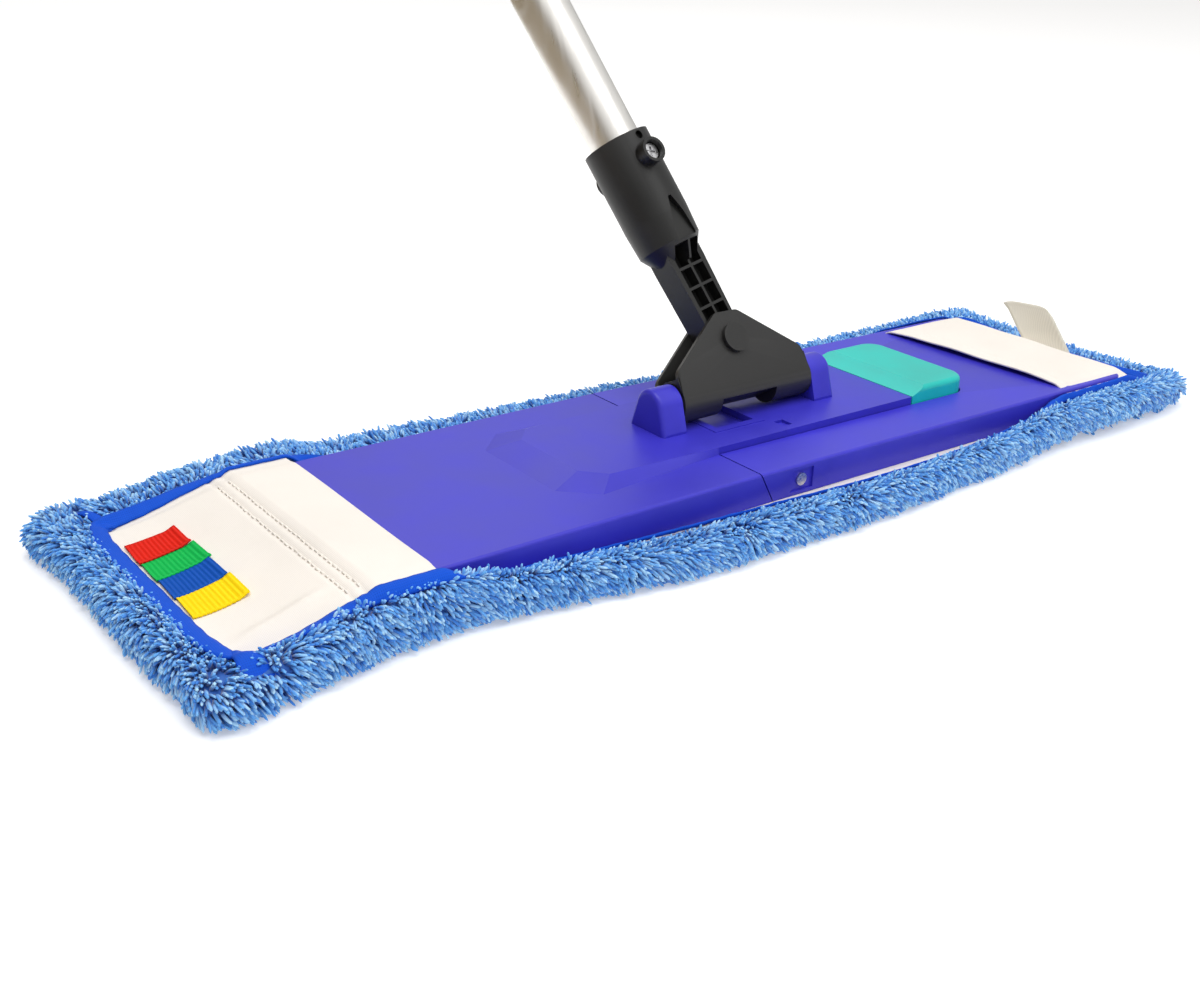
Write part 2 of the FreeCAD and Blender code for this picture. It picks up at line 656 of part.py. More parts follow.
def add_foot_pockets(body):
    """Ribbed pockets in the foot's front and back, and a pointed flute above each of them."""
    edges = [("-foot_half_width + 1.4", "foot_half_width - 1.4")]
    rows = [(8.4, 16.4), (17.6, 25.6), (26.8, 34.8), (36.0, 45.0)]
    for start, backwards in (("socket_radius", False), ("-socket_radius", True)):
        grid = new_sketch(body, "XZ", start)
        for left, right in edges:
            for low, high in rows:
                add_rectangle(grid, left, "-0.6", low, high)
                add_rectangle(grid, "0.6", right, low, high)
        pocket(body, grid, "socket_radius - 1.3", backwards=backwards)
        flute = new_sketch(body, "XZ", start)
        add_polygon(flute, [("-5.4", "46.2"), ("5.4", "46.2"), ("3.6", "56"), ("0.8", "64.5"),
                            ("-0.8", "64.5"), ("-3.6", "56")])
        pocket(body, flute, "socket_radius - 11.9", backwards=backwards)
    dimple = new_sketch(body, "XZ", "socket_radius")
    add_circle(dimple, "1.0", "boss_place + 8.8", "1.8")
    pocket(body, dimple, "2.2")


def make_tube_bolt():
    """The pan-head bolt with a cross recess that holds the tube in its socket."""
    along_y = FreeCAD.Rotation(V(1, 0, 0), -90)
    seat = value("boss_front - head_depth")
    shaft = make_cylinder("bolt_shaft", "bolt_radius", "boss_front - head_depth + boss_back - 0.4",
                          FreeCAD.Placement(V(0, -seat, 0), along_y))
    head_place = FreeCAD.Placement(V(0, -seat - 2.4, 0), along_y)
    head = make_cylinder("bolt_head_disc", "bolt_head", "2.4", head_place)
    whole = doc.addObject("Part::Fuse", "bolt_whole")
    whole.Base, whole.Tool = shaft, head
    recesses = []
    for spin in (20, 110):
        slot = doc.addObject("Part::Box", f"bolt_slot_{spin}")
        slot.Length, slot.Width, slot.Height = 4.4, 1.2, 1.1
        centre = FreeCAD.Placement(V(-2.2, -0.6, 0), FreeCAD.Rotation())
        turned = FreeCAD.Placement(V(), FreeCAD.Rotation(V(0, 0, 1), spin)).multiply(centre)
        slot.Placement = head_place.multiply(turned)
        recesses.append(slot)
    bolt = doc.addObject("Part::Cut", "tube_bolt")
    bolt.Base, bolt.Tool = whole, make_group("bolt_cross", recesses)
    bolt.Placement = handle_place().multiply(FreeCAD.Placement(V(0, 0, value("boss_place")), FreeCAD.Rotation()))
    return bolt


def make_tube_nut():
    """The hexagon nut in the seat behind the socket."""
    block = doc.addObject("Part::Prism", "nut_block")
    block.Polygon, block.Height = 6, 2.4
    bind(block, "Circumradius", "nut_corner")
    hole = make_cylinder("nut_hole", "bolt_radius", "2.4", FreeCAD.Placement())
    nut = doc.addObject("Part::Cut", "tube_nut")
    nut.Base, nut.Tool = block, hole
    on_boss = FreeCAD.Placement(V(0, value("boss_back"), value("boss_place")), FreeCAD.Rotation(V(1, 0, 0), 90))
    upright = FreeCAD.Placement(V(), FreeCAD.Rotation(V(0, 0, 1), 30))
    nut.Placement = handle_place().multiply(on_boss).multiply(upright)
    return nut


def make_handle_tube():
    body = new_body("handle_tube")
    section = new_sketch(body, "XY", "tube_start")
    add_circle(section, "0", "0", "tube_radius")
    add_circle(section, "0", "0", "tube_radius - tube_wall")
    pad(body, section, "tube_top - tube_start")
    hole = new_sketch(body, "XZ")
    add_circle(hole, "0", "boss_place", "bolt_radius + 0.1")
    pocket(body, hole, "60", midplane=True)
    body.Placement = handle_place()
    return body


def make_grip():
    """A ribbed sleeve round the top of the tube."""
    body = new_body("grip")
    side = new_sketch(body, "XZ")
    add_polygon(side, [("tube_radius", "grip_start"), ("tube_radius + 1.2", "grip_start"),
                       ("grip_radius", "grip_start + 6"), ("grip_radius - 0.6", "grip_start + 58"),
                       ("grip_radius", "tube_top - 8"), ("grip_radius + 1.3", "tube_top - 5"),
                       ("grip_radius + 1.3", "tube_top"), ("tube_radius", "tube_top")])
    revolve(body, side)
    groove = new_sketch(body, "XZ")
    add_rectangle(groove, "grip_radius - 1.4", "grip_radius + 3", "grip_start + 14", "grip_start + 16.4")
    ring = body.newObject("PartDesign::Groove", "grip_groove")
    ring.Profile = groove
    ring.ReferenceAxis = (groove, ["V_Axis"])
    ring.Angle = 360
    doc.recompute()
    rings = body.newObject("PartDesign::LinearPattern", "grip_grooves")
    rings.Originals = [ring]
    rings.Direction = (groove, ["V_Axis"])
    rings.Length = 88
    rings.Occurrences = 12
    body.Tip = rings
    body.Placement = handle_place()
    doc.recompute()
    return body


def make_hang_cap():
    """The tube's end cap: a plug in the tube, a collar, and a flat eye to hang the mop by."""
    body = new_body("hang_cap")
    side = new_sketch(body, "XZ")
    add_polygon(side, [("0", "tube_top - cap_plug"), ("tube_radius - tube_wall", "tube_top - cap_plug"),
                       ("tube_radius - tube_wall", "tube_top"), ("grip_radius + 1.3", "tube_top"),
                       ("grip_radius + 1.3", "tube_top + 2"), ("grip_radius", "tube_top + 4"),
                       ("0", "tube_top + 4")])
    revolve(body, side)
    eye = new_sketch(body, "XZ")
    add_rectangle(eye, "-11.5", "11.5", "tube_top + 2", "tube_top + cap_height - 11.5")
    pad(body, eye, "cap_thickness", midplane=True)
    crown = new_sketch(body, "XZ")
    add_circle(crown, "0", "tube_top + cap_height - 11.5", "11.5")
    pad(body, crown, "cap_thickness", midplane=True)
    hole = new_sketch(body, "XZ")
    add_circle(hole, "0", "tube_top + cap_height - 11.5", "hang_radius")
    pocket(body, hole, "2 * cap_thickness", midplane=True)
    body.Placement = handle_place()
    return body


# --------------------------------------------------------------------------- mop pad

def make_pad_end(name, end, inner_end, fold, outward):
    """Half of the pad: a microfibre sole with a raised pile border on its three outer sides."""
    body = new_body(name)
    low, high = sorted((end, fold), key=value)
    sole = new_sketch(body, "XY")
    add_rectangle(sole, low, high, "-pad_half_width", "pad_half_width")
    pad(body, sole, "sole_height")
    border = new_sketch(body, "XY", "sole_height")
    add_polygon(border, [(fold, "-pad_half_width"), (end, "-pad_half_width"), (end, "pad_half_width"),
                         (fold, "pad_half_width"), (fold, "canvas_half_width"),
                         (inner_end, "canvas_half_width"), (inner_end, "-canvas_half_width"),
                         (fold, "-canvas_half_width")])
    pad(body, border, "border_height - sole_height")
    place = value(end)
    round_edges(body, "pad_round", lambda e: is_upright(e) and near(e.CenterOfMass.x, place))
    top = value("border_height")
    half = value("pad_half_width")
    round_edges(body, "4", lambda e: in_plane(e, "z", top)
                and (max(abs(e.BoundBox.YMin), abs(e.BoundBox.YMax)) > half - 0.05
                     or outward * e.CenterOfMass.x > outward * place - 5))
    return body


def make_pad_middle():
    """The short stretch of the pad that creases when the frame folds."""
    body = new_body("pad_middle")
    left, right = "-hinge_offset - fold_zone", "-hinge_offset + fold_zone"
    sole = new_sketch(body, "XY")
    add_rectangle(sole, left, right, "-pad_half_width", "pad_half_width")
    pad(body, sole, "sole_height")
    canvas = new_sketch(body, "XY", "sole_height")
    add_rectangle(canvas, left, right, "-canvas_half_width", "canvas_half_width")
    pad(body, canvas, "plate_under - sole_height")
    borders = new_sketch(body, "XY", "sole_height")
    add_rectangle(borders, left, right, "canvas_half_width", "pad_half_width - 1")
    add_rectangle(borders, left, right, "-pad_half_width + 1", "-canvas_half_width")
    pad(body, borders, "border_height - sole_height")
    return body


def make_sheet(name, left, right, low, high):
    """A flat sheet of cloth under a plate."""
    sheet_box = doc.addObject("Part::Box", name)
    sheet_box.Label = name
    bind(sheet_box, "Length", f"({right}) - ({left})")
    bind(sheet_box, "Width", "2 * canvas_half_width")
    bind(sheet_box, "Height", f"({high}) - ({low})")
    sheet_box.Placement = FreeCAD.Placement(V(value(left), -value("canvas_half_width"), value(low)),
                                            FreeCAD.Rotation())
    return sheet_box


def make_binding(name, fold, inner_end, turn):
    """Tape round the canvas edge, on three sides of half the pad."""
    body = new_body(name)
    tape = new_sketch(body, "XY", "plate_under")
    inside = f"{inner_end} {turn} 1.7"
    add_polygon(tape, [(fold, "-canvas_half_width"), (inner_end, "-canvas_half_width"),
                       (inner_end, "canvas_half_width"), (fold, "canvas_half_width"),
                       (fold, "canvas_half_width - 1.7"), (inside, "canvas_half_width - 1.7"),
                       (inside, "-canvas_half_width + 1.7"), (fold, "-canvas_half_width + 1.7")])
    pad(body, tape, "0.8")
    return body


def make_left_pocket():
    """The flap over the left plate's end, sloping down to the pad's end beyond it."""
    body = new_body("pocket_left")
    side = new_sketch(body, "XZ")
    add_polygon(side, [("left_flap_edge", "plate_top_end + 0.25"), ("-202", "plate_top_end + 0.1"),
                       ("-247", "plate_under + 0.9"), ("-249", "plate_under + 0.9"),
                       ("-249", "plate_under + 0.9 + flap_thickness"),
                       ("-202.6", "plate_top_end + 0.1 + flap_thickness"),
                       ("left_flap_edge", "plate_top_end + 0.25 + flap_thickness")])
    pad(body, side, "2 * flap_half_width", midplane=True)
    return body


def make_right_pocket():
    """The flap over the right plate's end, which fills it."""
    body = new_body("pocket_right")
    side = new_sketch(body, "XZ")
    add_polygon(side, [("right_flap_edge", "plate_top_end + 0.35"), ("201", "plate_top_end + 0.1"),
                       ("212", "plate_under + 0.9"), ("217", "plate_under + 0.9"),
                       ("217", "plate_under + 0.9 + flap_thickness"),
                       ("202.6", "plate_top_end + 0.1 + flap_thickness"),
                       ("right_flap_edge", "plate_top_end + 0.35 + flap_thickness")])
    pad(body, side, "2 * flap_half_width", midplane=True)
    return body


def make_colour_tabs():
    """Four coding tabs sewn into the left end of the pad, lying on the flap's slope."""
    slope = math.degrees(math.atan2(value("plate_top_end - plate_under - 0.8"), 45.0))
    tabs = []
    for number, name in enumerate(("tab_red", "tab_green", "tab_blue", "tab_yellow")):
        tab = doc.addObject("Part::Box", name)
        tab.Label = name
        bind(tab, "Length", "tab_length")
        bind(tab, "Width", "tab_width")
        bind(tab, "Height", "tab_thickness")
        low_end = V(-247.0, value(f"20 - {number} * tab_pitch"), value("plate_under + 2.85"))
        tab.Placement = FreeCAD.Placement(low_end, FreeCAD.Rotation(V(0, 1, 0), -slope))
        tabs.append(tab)
    return tabs


def make_care_label():
    """A blank folded label sewn into the right end of the pad, standing up."""
    label = doc.addObject("Part::Box", "care_label")
    label.Label = "care_label"
    bind(label, "Length", "label_thickness")
    bind(label, "Width", "label_width")
    bind(label, "Height", "label_height")
    label.Placement = FreeCAD.Placement(V(226, 0, value("border_height + 0.3")),
                                        FreeCAD.Rotation(V(0, 1, 0), -12))
    return label


# --------------------------------------------------------------------------- assembly

def make_all():
    parts = [make_left_plate(), make_right_plate(), make_pedal(), make_pedal_spring(), make_pedal_pin()]
    parts += make_hinge_pins()
    parts.append(make_discs("lock_magnets", "magnet_radius", "magnet_height", "channel_floor + 1"))
    parts.append(make_discs("lock_strikers", "magnet_radius", "striker_height", "tongue_under"))
    parts += [make_yoke(), make_yoke_axle()]
    parts += make_cheek_pin()
    parts += [make_handle_socket(), make_tube_bolt(), make_tube_nut()]
    parts += [make_handle_tube(), make_grip(), make_hang_cap()]
    left_fold, right_fold = "-hinge_offset - fold_zone", "-hinge_offset + fold_zone"
    left_inner, right_inner = "pad_left_end + border_width", "pad_right_end - border_width"
    parts.append(make_pad_end("pad_left", "pad_left_end", left_inner, left_fold, -1))
    parts.append(make_pad_middle())
    parts.append(make_pad_end("pad_right", "pad_right_end", right_inner, right_fold, 1))
    parts.append(make_sheet("canvas_left", left_inner, left_fold, "sole_height", "plate_under"))
    parts.append(make_sheet("canvas_right", right_fold, right_inner, "sole_height", "plate_under"))
    parts.append(make_binding("binding_left", left_fold, left_inner, "+"))
    parts.append(make_binding("binding_right", right_fold, right_inner, "-"))
    parts += [make_left_pocket(), make_right_pocket()]
    parts += make_colour_tabs()
    parts.append(make_care_label())
    return parts


def check_document(parts):
    """Stop if any object of the document failed, or if a sub-part has no valid solid."""
    for thing in doc.Objects:
        if "Invalid" in thing.State or "Error" in thing.State:
            raise RuntimeError(f"{thing.Name} is {thing.State}")
    for part in parts:
        if part.Shape.isNull() or not part.Shape.isValid() or not part.Shape.Solids:
            raise RuntimeError(part.Label + " has no valid solid")


parts = make_all()
doc.recompute()
check_document(parts)
os.makedirs("parts", exist_ok=True)
for part in parts:
    part.Shape.exportStep(f"parts/{part.Label}.step")
    box = part.Shape.BoundBox
    print(f"{part.Label:16s} solids {len(part.Shape.Solids)} volume {part.Shape.Volume:10.1f} "
          f"x {box.XMin:7.1f} {box.XMax:7.1f} y {box.YMin:7.1f} {box.YMax:7.1f} "
          f"z {box.ZMin:7.1f} {box.ZMax:7.1f}")
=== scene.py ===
"""Looks of the flat mop: materials for its hard parts, and the microfibre pad, modelled in full."""

import json
import math

import bmesh
import bpy
import numpy as np
from mathutils import Matrix, Vector


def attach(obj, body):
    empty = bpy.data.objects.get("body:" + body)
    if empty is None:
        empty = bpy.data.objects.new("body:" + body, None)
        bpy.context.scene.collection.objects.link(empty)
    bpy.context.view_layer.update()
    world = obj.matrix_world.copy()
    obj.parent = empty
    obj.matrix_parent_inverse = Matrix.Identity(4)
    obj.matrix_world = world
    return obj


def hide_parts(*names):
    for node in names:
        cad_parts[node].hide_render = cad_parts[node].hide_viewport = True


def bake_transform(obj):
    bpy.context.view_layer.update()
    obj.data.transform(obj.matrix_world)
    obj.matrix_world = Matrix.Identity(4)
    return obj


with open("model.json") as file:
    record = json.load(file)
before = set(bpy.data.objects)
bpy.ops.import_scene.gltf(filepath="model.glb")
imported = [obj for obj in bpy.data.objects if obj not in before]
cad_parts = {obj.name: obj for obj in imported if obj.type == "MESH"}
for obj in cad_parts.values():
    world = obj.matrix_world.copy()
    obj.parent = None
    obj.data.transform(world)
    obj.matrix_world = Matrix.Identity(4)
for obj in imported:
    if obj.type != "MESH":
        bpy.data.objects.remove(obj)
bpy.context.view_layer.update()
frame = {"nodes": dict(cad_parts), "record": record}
scene = bpy.context.scene

MM = 0.001
SEED = 4711

# --------------------------------------------------------------------------- the pad's plan, in millimetres

PLATE_TOP = 22.9
PLATE_END_LEFT, PLATE_END_RIGHT = -200.0, 200.0
POCKET_LEFT, POCKET_RIGHT = -179.0, 152.0
FOLD_START, FOLD_END, HINGE_HEIGHT = -43.7, 18.3, 17.0

# The pile border's course, round the pad from its front left corner:
# inner x, inner y, outer x, outer y, height above the floor.
BORDER = [
    (-249, -53, -268.5, -75.5, 0.0),
    (-235, -55, -237, -71, 0.0),
    (-197, -56, -197, -65.5, 2.0),
    (-159, -56.5, -159, -65, 2.5),
    (-121, -57, -121, -69.5, 1.0),
    (-80, -58, -80, -75.5, 0.0),
    (-31, -60.5, -31, -75.5, 0.0),
    (16, -63, 16, -75.5, 0.0),
    (64, -63, 64, -73.5, 0.5),
    (105, -60.5, 105, -70.5, 2.0),
    (146, -56.5, 146, -66.5, 5.0),
    (190, -55.8, 190, -67, 5.5),
    (216, -52, 224, -65, 3.5),
    (225, -44, 245.5, -58.5, 1.5),
    (224, -24, 243, -28, 0.5),
    (223, 4, 240, 4, 0.5),
    (222, 28, 239, 28, 0.5),
    (220, 45, 237, 50, 2.0),
    (213, 54, 231, 71, 5.0),
    (193, 57, 195, 76, 4.5),
    (124, 57, 124, 77, 2.5),
    (40, 57, 40, 79, 1.5),
    (-52, 57, -52, 82, 2.5),
    (-113, 57, -113, 83.5, 3.0),
    (-160, 58, -160, 86, 3.0),
    (-190, 58, -190, 85, 2.5),
    (-235, 57, -238, 81.5, 0.5),
    (-249, 55, -269.5, 80.5, 0.5),
    (-253, 44, -271.5, 51, 0.0),
    (-253, 28, -271.5, 29, 0.0),
    (-253, 0, -271, 0, 0.0),
    (-253, -28, -271, -29, 0.0),
    (-252.5, -43, -271, -51, 0.0),
]
BORDER_TOP = 15.0
FLOOR_HALF = 12.0  # metres
BORDER_STRANDS, SOLE_STRANDS = 36000, 9500

# Tape patches across the border at two corners: start, end, width at the start, width at the end.
CORNER_TAPES = {
    "corner_tape_front": ((-250.5, -53.0), (-249.5, -70.0), 4.0, 12.0),
    "corner_tape_back": ((-250.0, 55.0), (-257.0, 76.0), 5.0, 3.6),
}


def smooth_loop(points, per_span):
    """A closed Catmull-Rom curve through rows of numbers."""
    rows = np.array(points, float)
    count = len(rows)
    t = np.arange(per_span)[:, None] / per_span
    spans = []
    for i in range(count):
        a, b, c, d = (rows[(i + k - 1) % count] for k in range(4))
        spans.append(0.5 * (2 * b + (c - a) * t + (2 * a - 5 * b + 4 * c - d) * t**2
                            + (3 * b - a - 3 * c + d) * t**3))
    return np.vstack(spans)


def even_loop(points, step):
    """The smooth loop, resampled to stations about step apart along its middle line."""
    rows = smooth_loop(points, 24)
    closed = np.vstack([rows, rows[:1]])
    middle = 0.5 * (closed[:, 0:2] + closed[:, 2:4])
    length = np.concatenate([[0], np.cumsum(np.linalg.norm(np.diff(middle, axis=0), axis=1))])
    stations = np.linspace(0, length[-1], int(length[-1] / step), endpoint=False)
    return np.column_stack([np.interp(stations, length, closed[:, k]) for k in range(closed.shape[1])])


def smoothstep(low, high, x):
    """A soft step from 0 at low to 1 at high."""
    t = np.clip((np.asarray(x, float) - low) / (high - low), 0, 1)
    return t * t * (3 - 2 * t)


def ripple(x, y, scale, seed):
    """A smooth wandering value in about -1..1 for each point, the same on every run."""
    rng = np.random.default_rng(seed)
    total = np.zeros(np.broadcast(x, y).shape)
    for _ in range(6):
        angle, phase = rng.uniform(0, math.tau, 2)
        wave = rng.uniform(0.6, 1.7) / scale
        total = total + np.sin((x * math.cos(angle) + y * math.sin(angle)) * wave * math.tau + phase)
    return total / 3.2


def pocket_lift(x):
    """How much higher the border stands beside the left pocket, where the plate lifts its seam."""
    return 4.5 * smoothstep(-148, -178, x) * smoothstep(-256, -206, x)


# --------------------------------------------------------------------------- materials

def new_material(name):
    """A material with its node tree and its main shader."""
    material = bpy.data.materials.new(name)
    material.use_nodes = True
    tree = material.node_tree
    shader = tree.nodes["Principled BSDF"]
    return material, tree, shader


def node(tree, kind, inputs=(), **settings):
    """A shader node; inputs are sockets to link or constant values."""
    made = tree.nodes.new("ShaderNode" + kind)
    for key, setting in settings.items():
        setattr(made, key, setting)
    for key, source in dict(inputs).items():
        if isinstance(source, bpy.types.NodeSocket):
            tree.links.new(source, made.inputs[key])
        else:
            made.inputs[key].default_value = source
    return made


def place_coordinates(tree, stretch=(1, 1, 1)):
    """Object coordinates in metres, stretched along an axis for grain."""
    coordinates = node(tree, "TexCoord")
    return node(tree, "Mapping", {"Vector": coordinates.outputs["Object"], "Scale": stretch}).outputs["Vector"]


def colour_ramp(tree, factor, stops):
    """A colour for each value of the factor, from (place, colour) stops."""
    ramp = node(tree, "ValToRGB", {"Fac": factor})
    elements = ramp.color_ramp.elements
    while len(elements) < len(stops):
        elements.new(0.5)
    for element, (place, colour) in zip(elements, stops):
        element.position = place
        element.color = (*colour, 1)
    return ramp.outputs["Color"]


def shade(colour, factor):
    """The colour made lighter or darker."""
    return tuple(min(1.0, c * factor) for c in colour)


def mixed_colour(tree, factor, first, second):
    """A colour mix; its colour sockets come after those for numbers and vectors."""
    mix = tree.nodes.new("ShaderNodeMix")
    mix.data_type = "RGBA"
    for socket, source in zip((mix.inputs[0], mix.inputs[6], mix.inputs[7]), (factor, first, second)):
        if isinstance(source, bpy.types.NodeSocket):
            tree.links.new(source, socket)
        else:
            socket.default_value = source
    return mix.outputs[2]


def moulded_plastic(name, colour, roughness, grain=2600.0, depth=0.02, edge_highlight_and_scuff=None, specular=0.4):
    """Injection-moulded plastic: a fine eroded texture, slow gloss changes, and convex edges lightened, partly as
    worn plastic and partly as a painted highlight.
    """
    material, tree, shader = new_material(name)
    place = place_coordinates(tree)
    broad = node(tree, "TexNoise", {"Vector": place, "Scale": 38.0, "Detail": 3.0})
    fine = node(tree, "TexNoise", {"Vector": place, "Scale": grain, "Detail": 2.0})
    base = colour_ramp(tree, broad.outputs["Fac"], [(0.3, shade(colour, 0.92)), (0.7, shade(colour, 1.06))])
    # Convex edges are painted lighter: partly edge wear, partly a painted highlight where light catches the
    # rounded edges.
    geometry = node(tree, "NewGeometry")
    edge = node(tree, "MapRange", {"Value": geometry.outputs["Pointiness"], "From Min": 0.56, "From Max": 0.68,
                                   "To Min": 0.0, "To Max": 0.35})
    lit_and_worn_edges = mixed_colour(tree, edge.outputs["Result"], base, (*(edge_highlight_and_scuff or shade(colour, 1.9)), 1))
    tree.links.new(lit_and_worn_edges, shader.inputs["Base Color"])
    shader.inputs["Specular IOR Level"].default_value = specular
    gloss = node(tree, "MapRange", {"Value": broad.outputs["Fac"], "From Min": 0.3, "From Max": 0.7,
                                    "To Min": roughness - 0.04, "To Max": roughness + 0.05})
    tree.links.new(gloss.outputs["Result"], shader.inputs["Roughness"])
    bump = node(tree, "Bump", {"Height": fine.outputs["Fac"], "Strength": 0.25, "Distance": depth * MM})
    tree.links.new(bump.outputs["Normal"], shader.inputs["Normal"])
    return material


def drawn_metal(name, colour, roughness, stretch, metallic=1.0):
    """Metal with fine lines along one direction, such as an extruded or turned part."""
    material, tree, shader = new_material(name)
    place = place_coordinates(tree, stretch)
    lines = node(tree, "TexNoise", {"Vector": place, "Scale": 900.0, "Detail": 4.0})
    cloud = node(tree, "TexNoise", {"Vector": place_coordinates(tree), "Scale": 14.0, "Detail": 2.0})
    tint = colour_ramp(tree, cloud.outputs["Fac"], [(0.3, shade(colour, 0.93)), (0.7, shade(colour, 1.04))])
    tree.links.new(tint, shader.inputs["Base Color"])
    gloss = node(tree, "MapRange", {"Value": lines.outputs["Fac"], "From Min": 0.3, "From Max": 0.7,
                                    "To Min": roughness - 0.06, "To Max": roughness + 0.08})
    tree.links.new(gloss.outputs["Result"], shader.inputs["Roughness"])
    bump = node(tree, "Bump", {"Height": lines.outputs["Fac"], "Strength": 0.12, "Distance": 0.02 * MM})
    tree.links.new(bump.outputs["Normal"], shader.inputs["Normal"])
    shader.inputs["Metallic"].default_value = metallic
    return material


def woven_cloth(name, colour, threads, roughness=0.85, sheen=0.15, depth=0.05):
    """Plain weave: two crossed sets of threads, with a soft uneven tone."""
    material, tree, shader = new_material(name)
    place = place_coordinates(tree)
    warp = node(tree, "TexWave", {"Vector": place, "Scale": threads, "Distortion": 0.6, "Detail": 1.0},
                wave_type="BANDS", bands_direction="X")
    weft = node(tree, "TexWave", {"Vector": place, "Scale": threads, "Distortion": 0.6, "Detail": 1.0},
                wave_type="BANDS", bands_direction="Y")
    weave = node(tree, "Math", {0: warp.outputs["Fac"], 1: weft.outputs["Fac"]}, operation="MAXIMUM")
    cloud = node(tree, "TexNoise", {"Vector": place, "Scale": 22.0, "Detail": 4.0})
    tone = node(tree, "Math", {0: weave.outputs["Value"], 1: cloud.outputs["Fac"]}, operation="ADD")
    half = node(tree, "Math", {0: tone.outputs["Value"], 1: 0.5}, operation="MULTIPLY")
    tint = colour_ramp(tree, half.outputs["Value"], [(0.25, shade(colour, 0.86)), (0.75, shade(colour, 1.03))])
    tree.links.new(tint, shader.inputs["Base Color"])
    shader.inputs["Roughness"].default_value = roughness
    shader.inputs["Specular IOR Level"].default_value = 0.2
    shader.inputs["Sheen Weight"].default_value = sheen
    bump = node(tree, "Bump", {"Height": weave.outputs["Value"], "Strength": 0.5, "Distance": depth * MM})
    tree.links.new(bump.outputs["Normal"], shader.inputs["Normal"])
    return material


def pile_material():
    """Microfibre strands: painted shade darkens each strand at its root and a painted highlight lightens it at its
    tip; each strand also has its own blue.
    """
    material, tree, shader = new_material("pile_blue")
    # Painted shade and highlight: each strand's level along its length mixes a dark root colour, standing for the
    # shade between strands, into a light tip colour, standing for highlights.
    root = node(tree, "Attribute", attribute_name="root_shade_tip_highlight")
    own = node(tree, "Attribute", attribute_name="strand_tone")
    root_shade_colour = colour_ramp(tree, own.outputs["Fac"], [(0.0, (0.006, 0.05, 0.30)), (1.0, (0.02, 0.13, 0.52))])
    tip_highlight_colour = colour_ramp(tree, own.outputs["Fac"], [(0.15, (0.04, 0.24, 0.74)), (0.5, (0.14, 0.45, 0.90)),
                                                  (0.85, (0.46, 0.76, 1.0))])
    tree.links.new(mixed_colour(tree, root.outputs["Fac"], root_shade_colour, tip_highlight_colour), shader.inputs["Base Color"])
    shader.inputs["Roughness"].default_value = 0.72
    shader.inputs["Sheen Weight"].default_value = 0.35
    shader.inputs["Sheen Roughness"].default_value = 0.4
    fibres = node(tree, "TexNoise", {"Vector": place_coordinates(tree), "Scale": 2400.0, "Detail": 2.0})
    bump = node(tree, "Bump", {"Height": fibres.outputs["Fac"], "Strength": 0.5, "Distance": 0.12 * MM})
    tree.links.new(bump.outputs["Normal"], shader.inputs["Normal"])
    return material


BLUE = (0.040, 0.034, 0.50)
MATERIALS = {
    "frame_blue": moulded_plastic("frame_blue", BLUE, 0.36, specular=0.35),
    "pedal_turquoise": moulded_plastic("pedal_turquoise", (0.006, 0.50, 0.44), 0.34),
    # The black parts' edges are painted a lighter grey: partly wear, partly a painted highlight ring.
    "joint_black": moulded_plastic("joint_black", (0.0065, 0.0065, 0.006), 0.40, depth=0.04,
                                   edge_highlight_and_scuff=(0.09, 0.088, 0.085), specular=0.45),
    "pin_steel": drawn_metal("pin_steel", (0.62, 0.62, 0.63), 0.3, (1, 1, 1)),
    "magnet_nickel": drawn_metal("magnet_nickel", (0.7, 0.69, 0.67), 0.18, (1, 1, 1)),
    "tube_aluminium": drawn_metal("tube_aluminium", (0.86, 0.84, 0.80), 0.33, (1.0, 0.06, 0.04)),
    "grip_rubber": moulded_plastic("grip_rubber", (0.022, 0.022, 0.024), 0.72, grain=1500.0, depth=0.08),
    "canvas_white": woven_cloth("canvas_white", (0.84, 0.79, 0.73), 620.0, sheen=0.05),
    "label_ribbon": woven_cloth("label_ribbon", (0.80, 0.77, 0.68), 900.0, 0.6, 0.1, 0.03),
    "binding_blue": woven_cloth("binding_blue", (0.0, 0.075, 0.58), 420.0, 0.7, 0.02, 0.12),
    "tab_red": woven_cloth("tab_red", (0.70, 0.012, 0.002), 500.0, 0.7, 0.0),
    "tab_green": woven_cloth("tab_green", (0.0, 0.46, 0.08), 500.0, 0.7, 0.0),
    "tab_blue": woven_cloth("tab_blue", (0.0, 0.08, 0.44), 500.0, 0.7, 0.0),
    "tab_yellow": woven_cloth("tab_yellow", (0.97, 0.68, 0.0), 500.0, 0.7, 0.0),
    "pile_blue": pile_material(),
}
NODE_MATERIAL = {entry["node"]: entry["material_slot"] for entry in frame["record"]["subparts"]}
for name, thing in frame["nodes"].items():
    thing.data.materials.clear()
    thing.data.materials.append(MATERIALS[NODE_MATERIAL[name]])


# --------------------------------------------------------------------------- mesh helpers

def make_piece(name, vertices_mm, faces, slot, smooth=True):
    """A mesh object from millimetre coordinates, with its material."""
    mesh = bpy.data.meshes.new(name)
    points = np.asarray(vertices_mm, float) * MM
    mesh.from_pydata(points.tolist(), [], [tuple(int(i) for i in face) for face in faces])
    mesh.validate()
    mesh.materials.append(MATERIALS[slot])
    if smooth:
        mesh.shade_smooth()
    piece = bpy.data.objects.new(name, mesh)
    scene.collection.objects.link(piece)
    return piece


def grid_faces(rows, columns, wrap_rows=False, wrap_columns=False):
    """Quads between the rows and columns of a grid of points."""
    faces = []
    for i in range(rows if wrap_rows else rows - 1):
        for j in range(columns if wrap_columns else columns - 1):
            a, b = i * columns + j, i * columns + (j + 1) % columns
            c, d = ((i + 1) % rows) * columns + (j + 1) % columns, ((i + 1) % rows) * columns + j
            faces.append((a, b, c, d))
    return faces


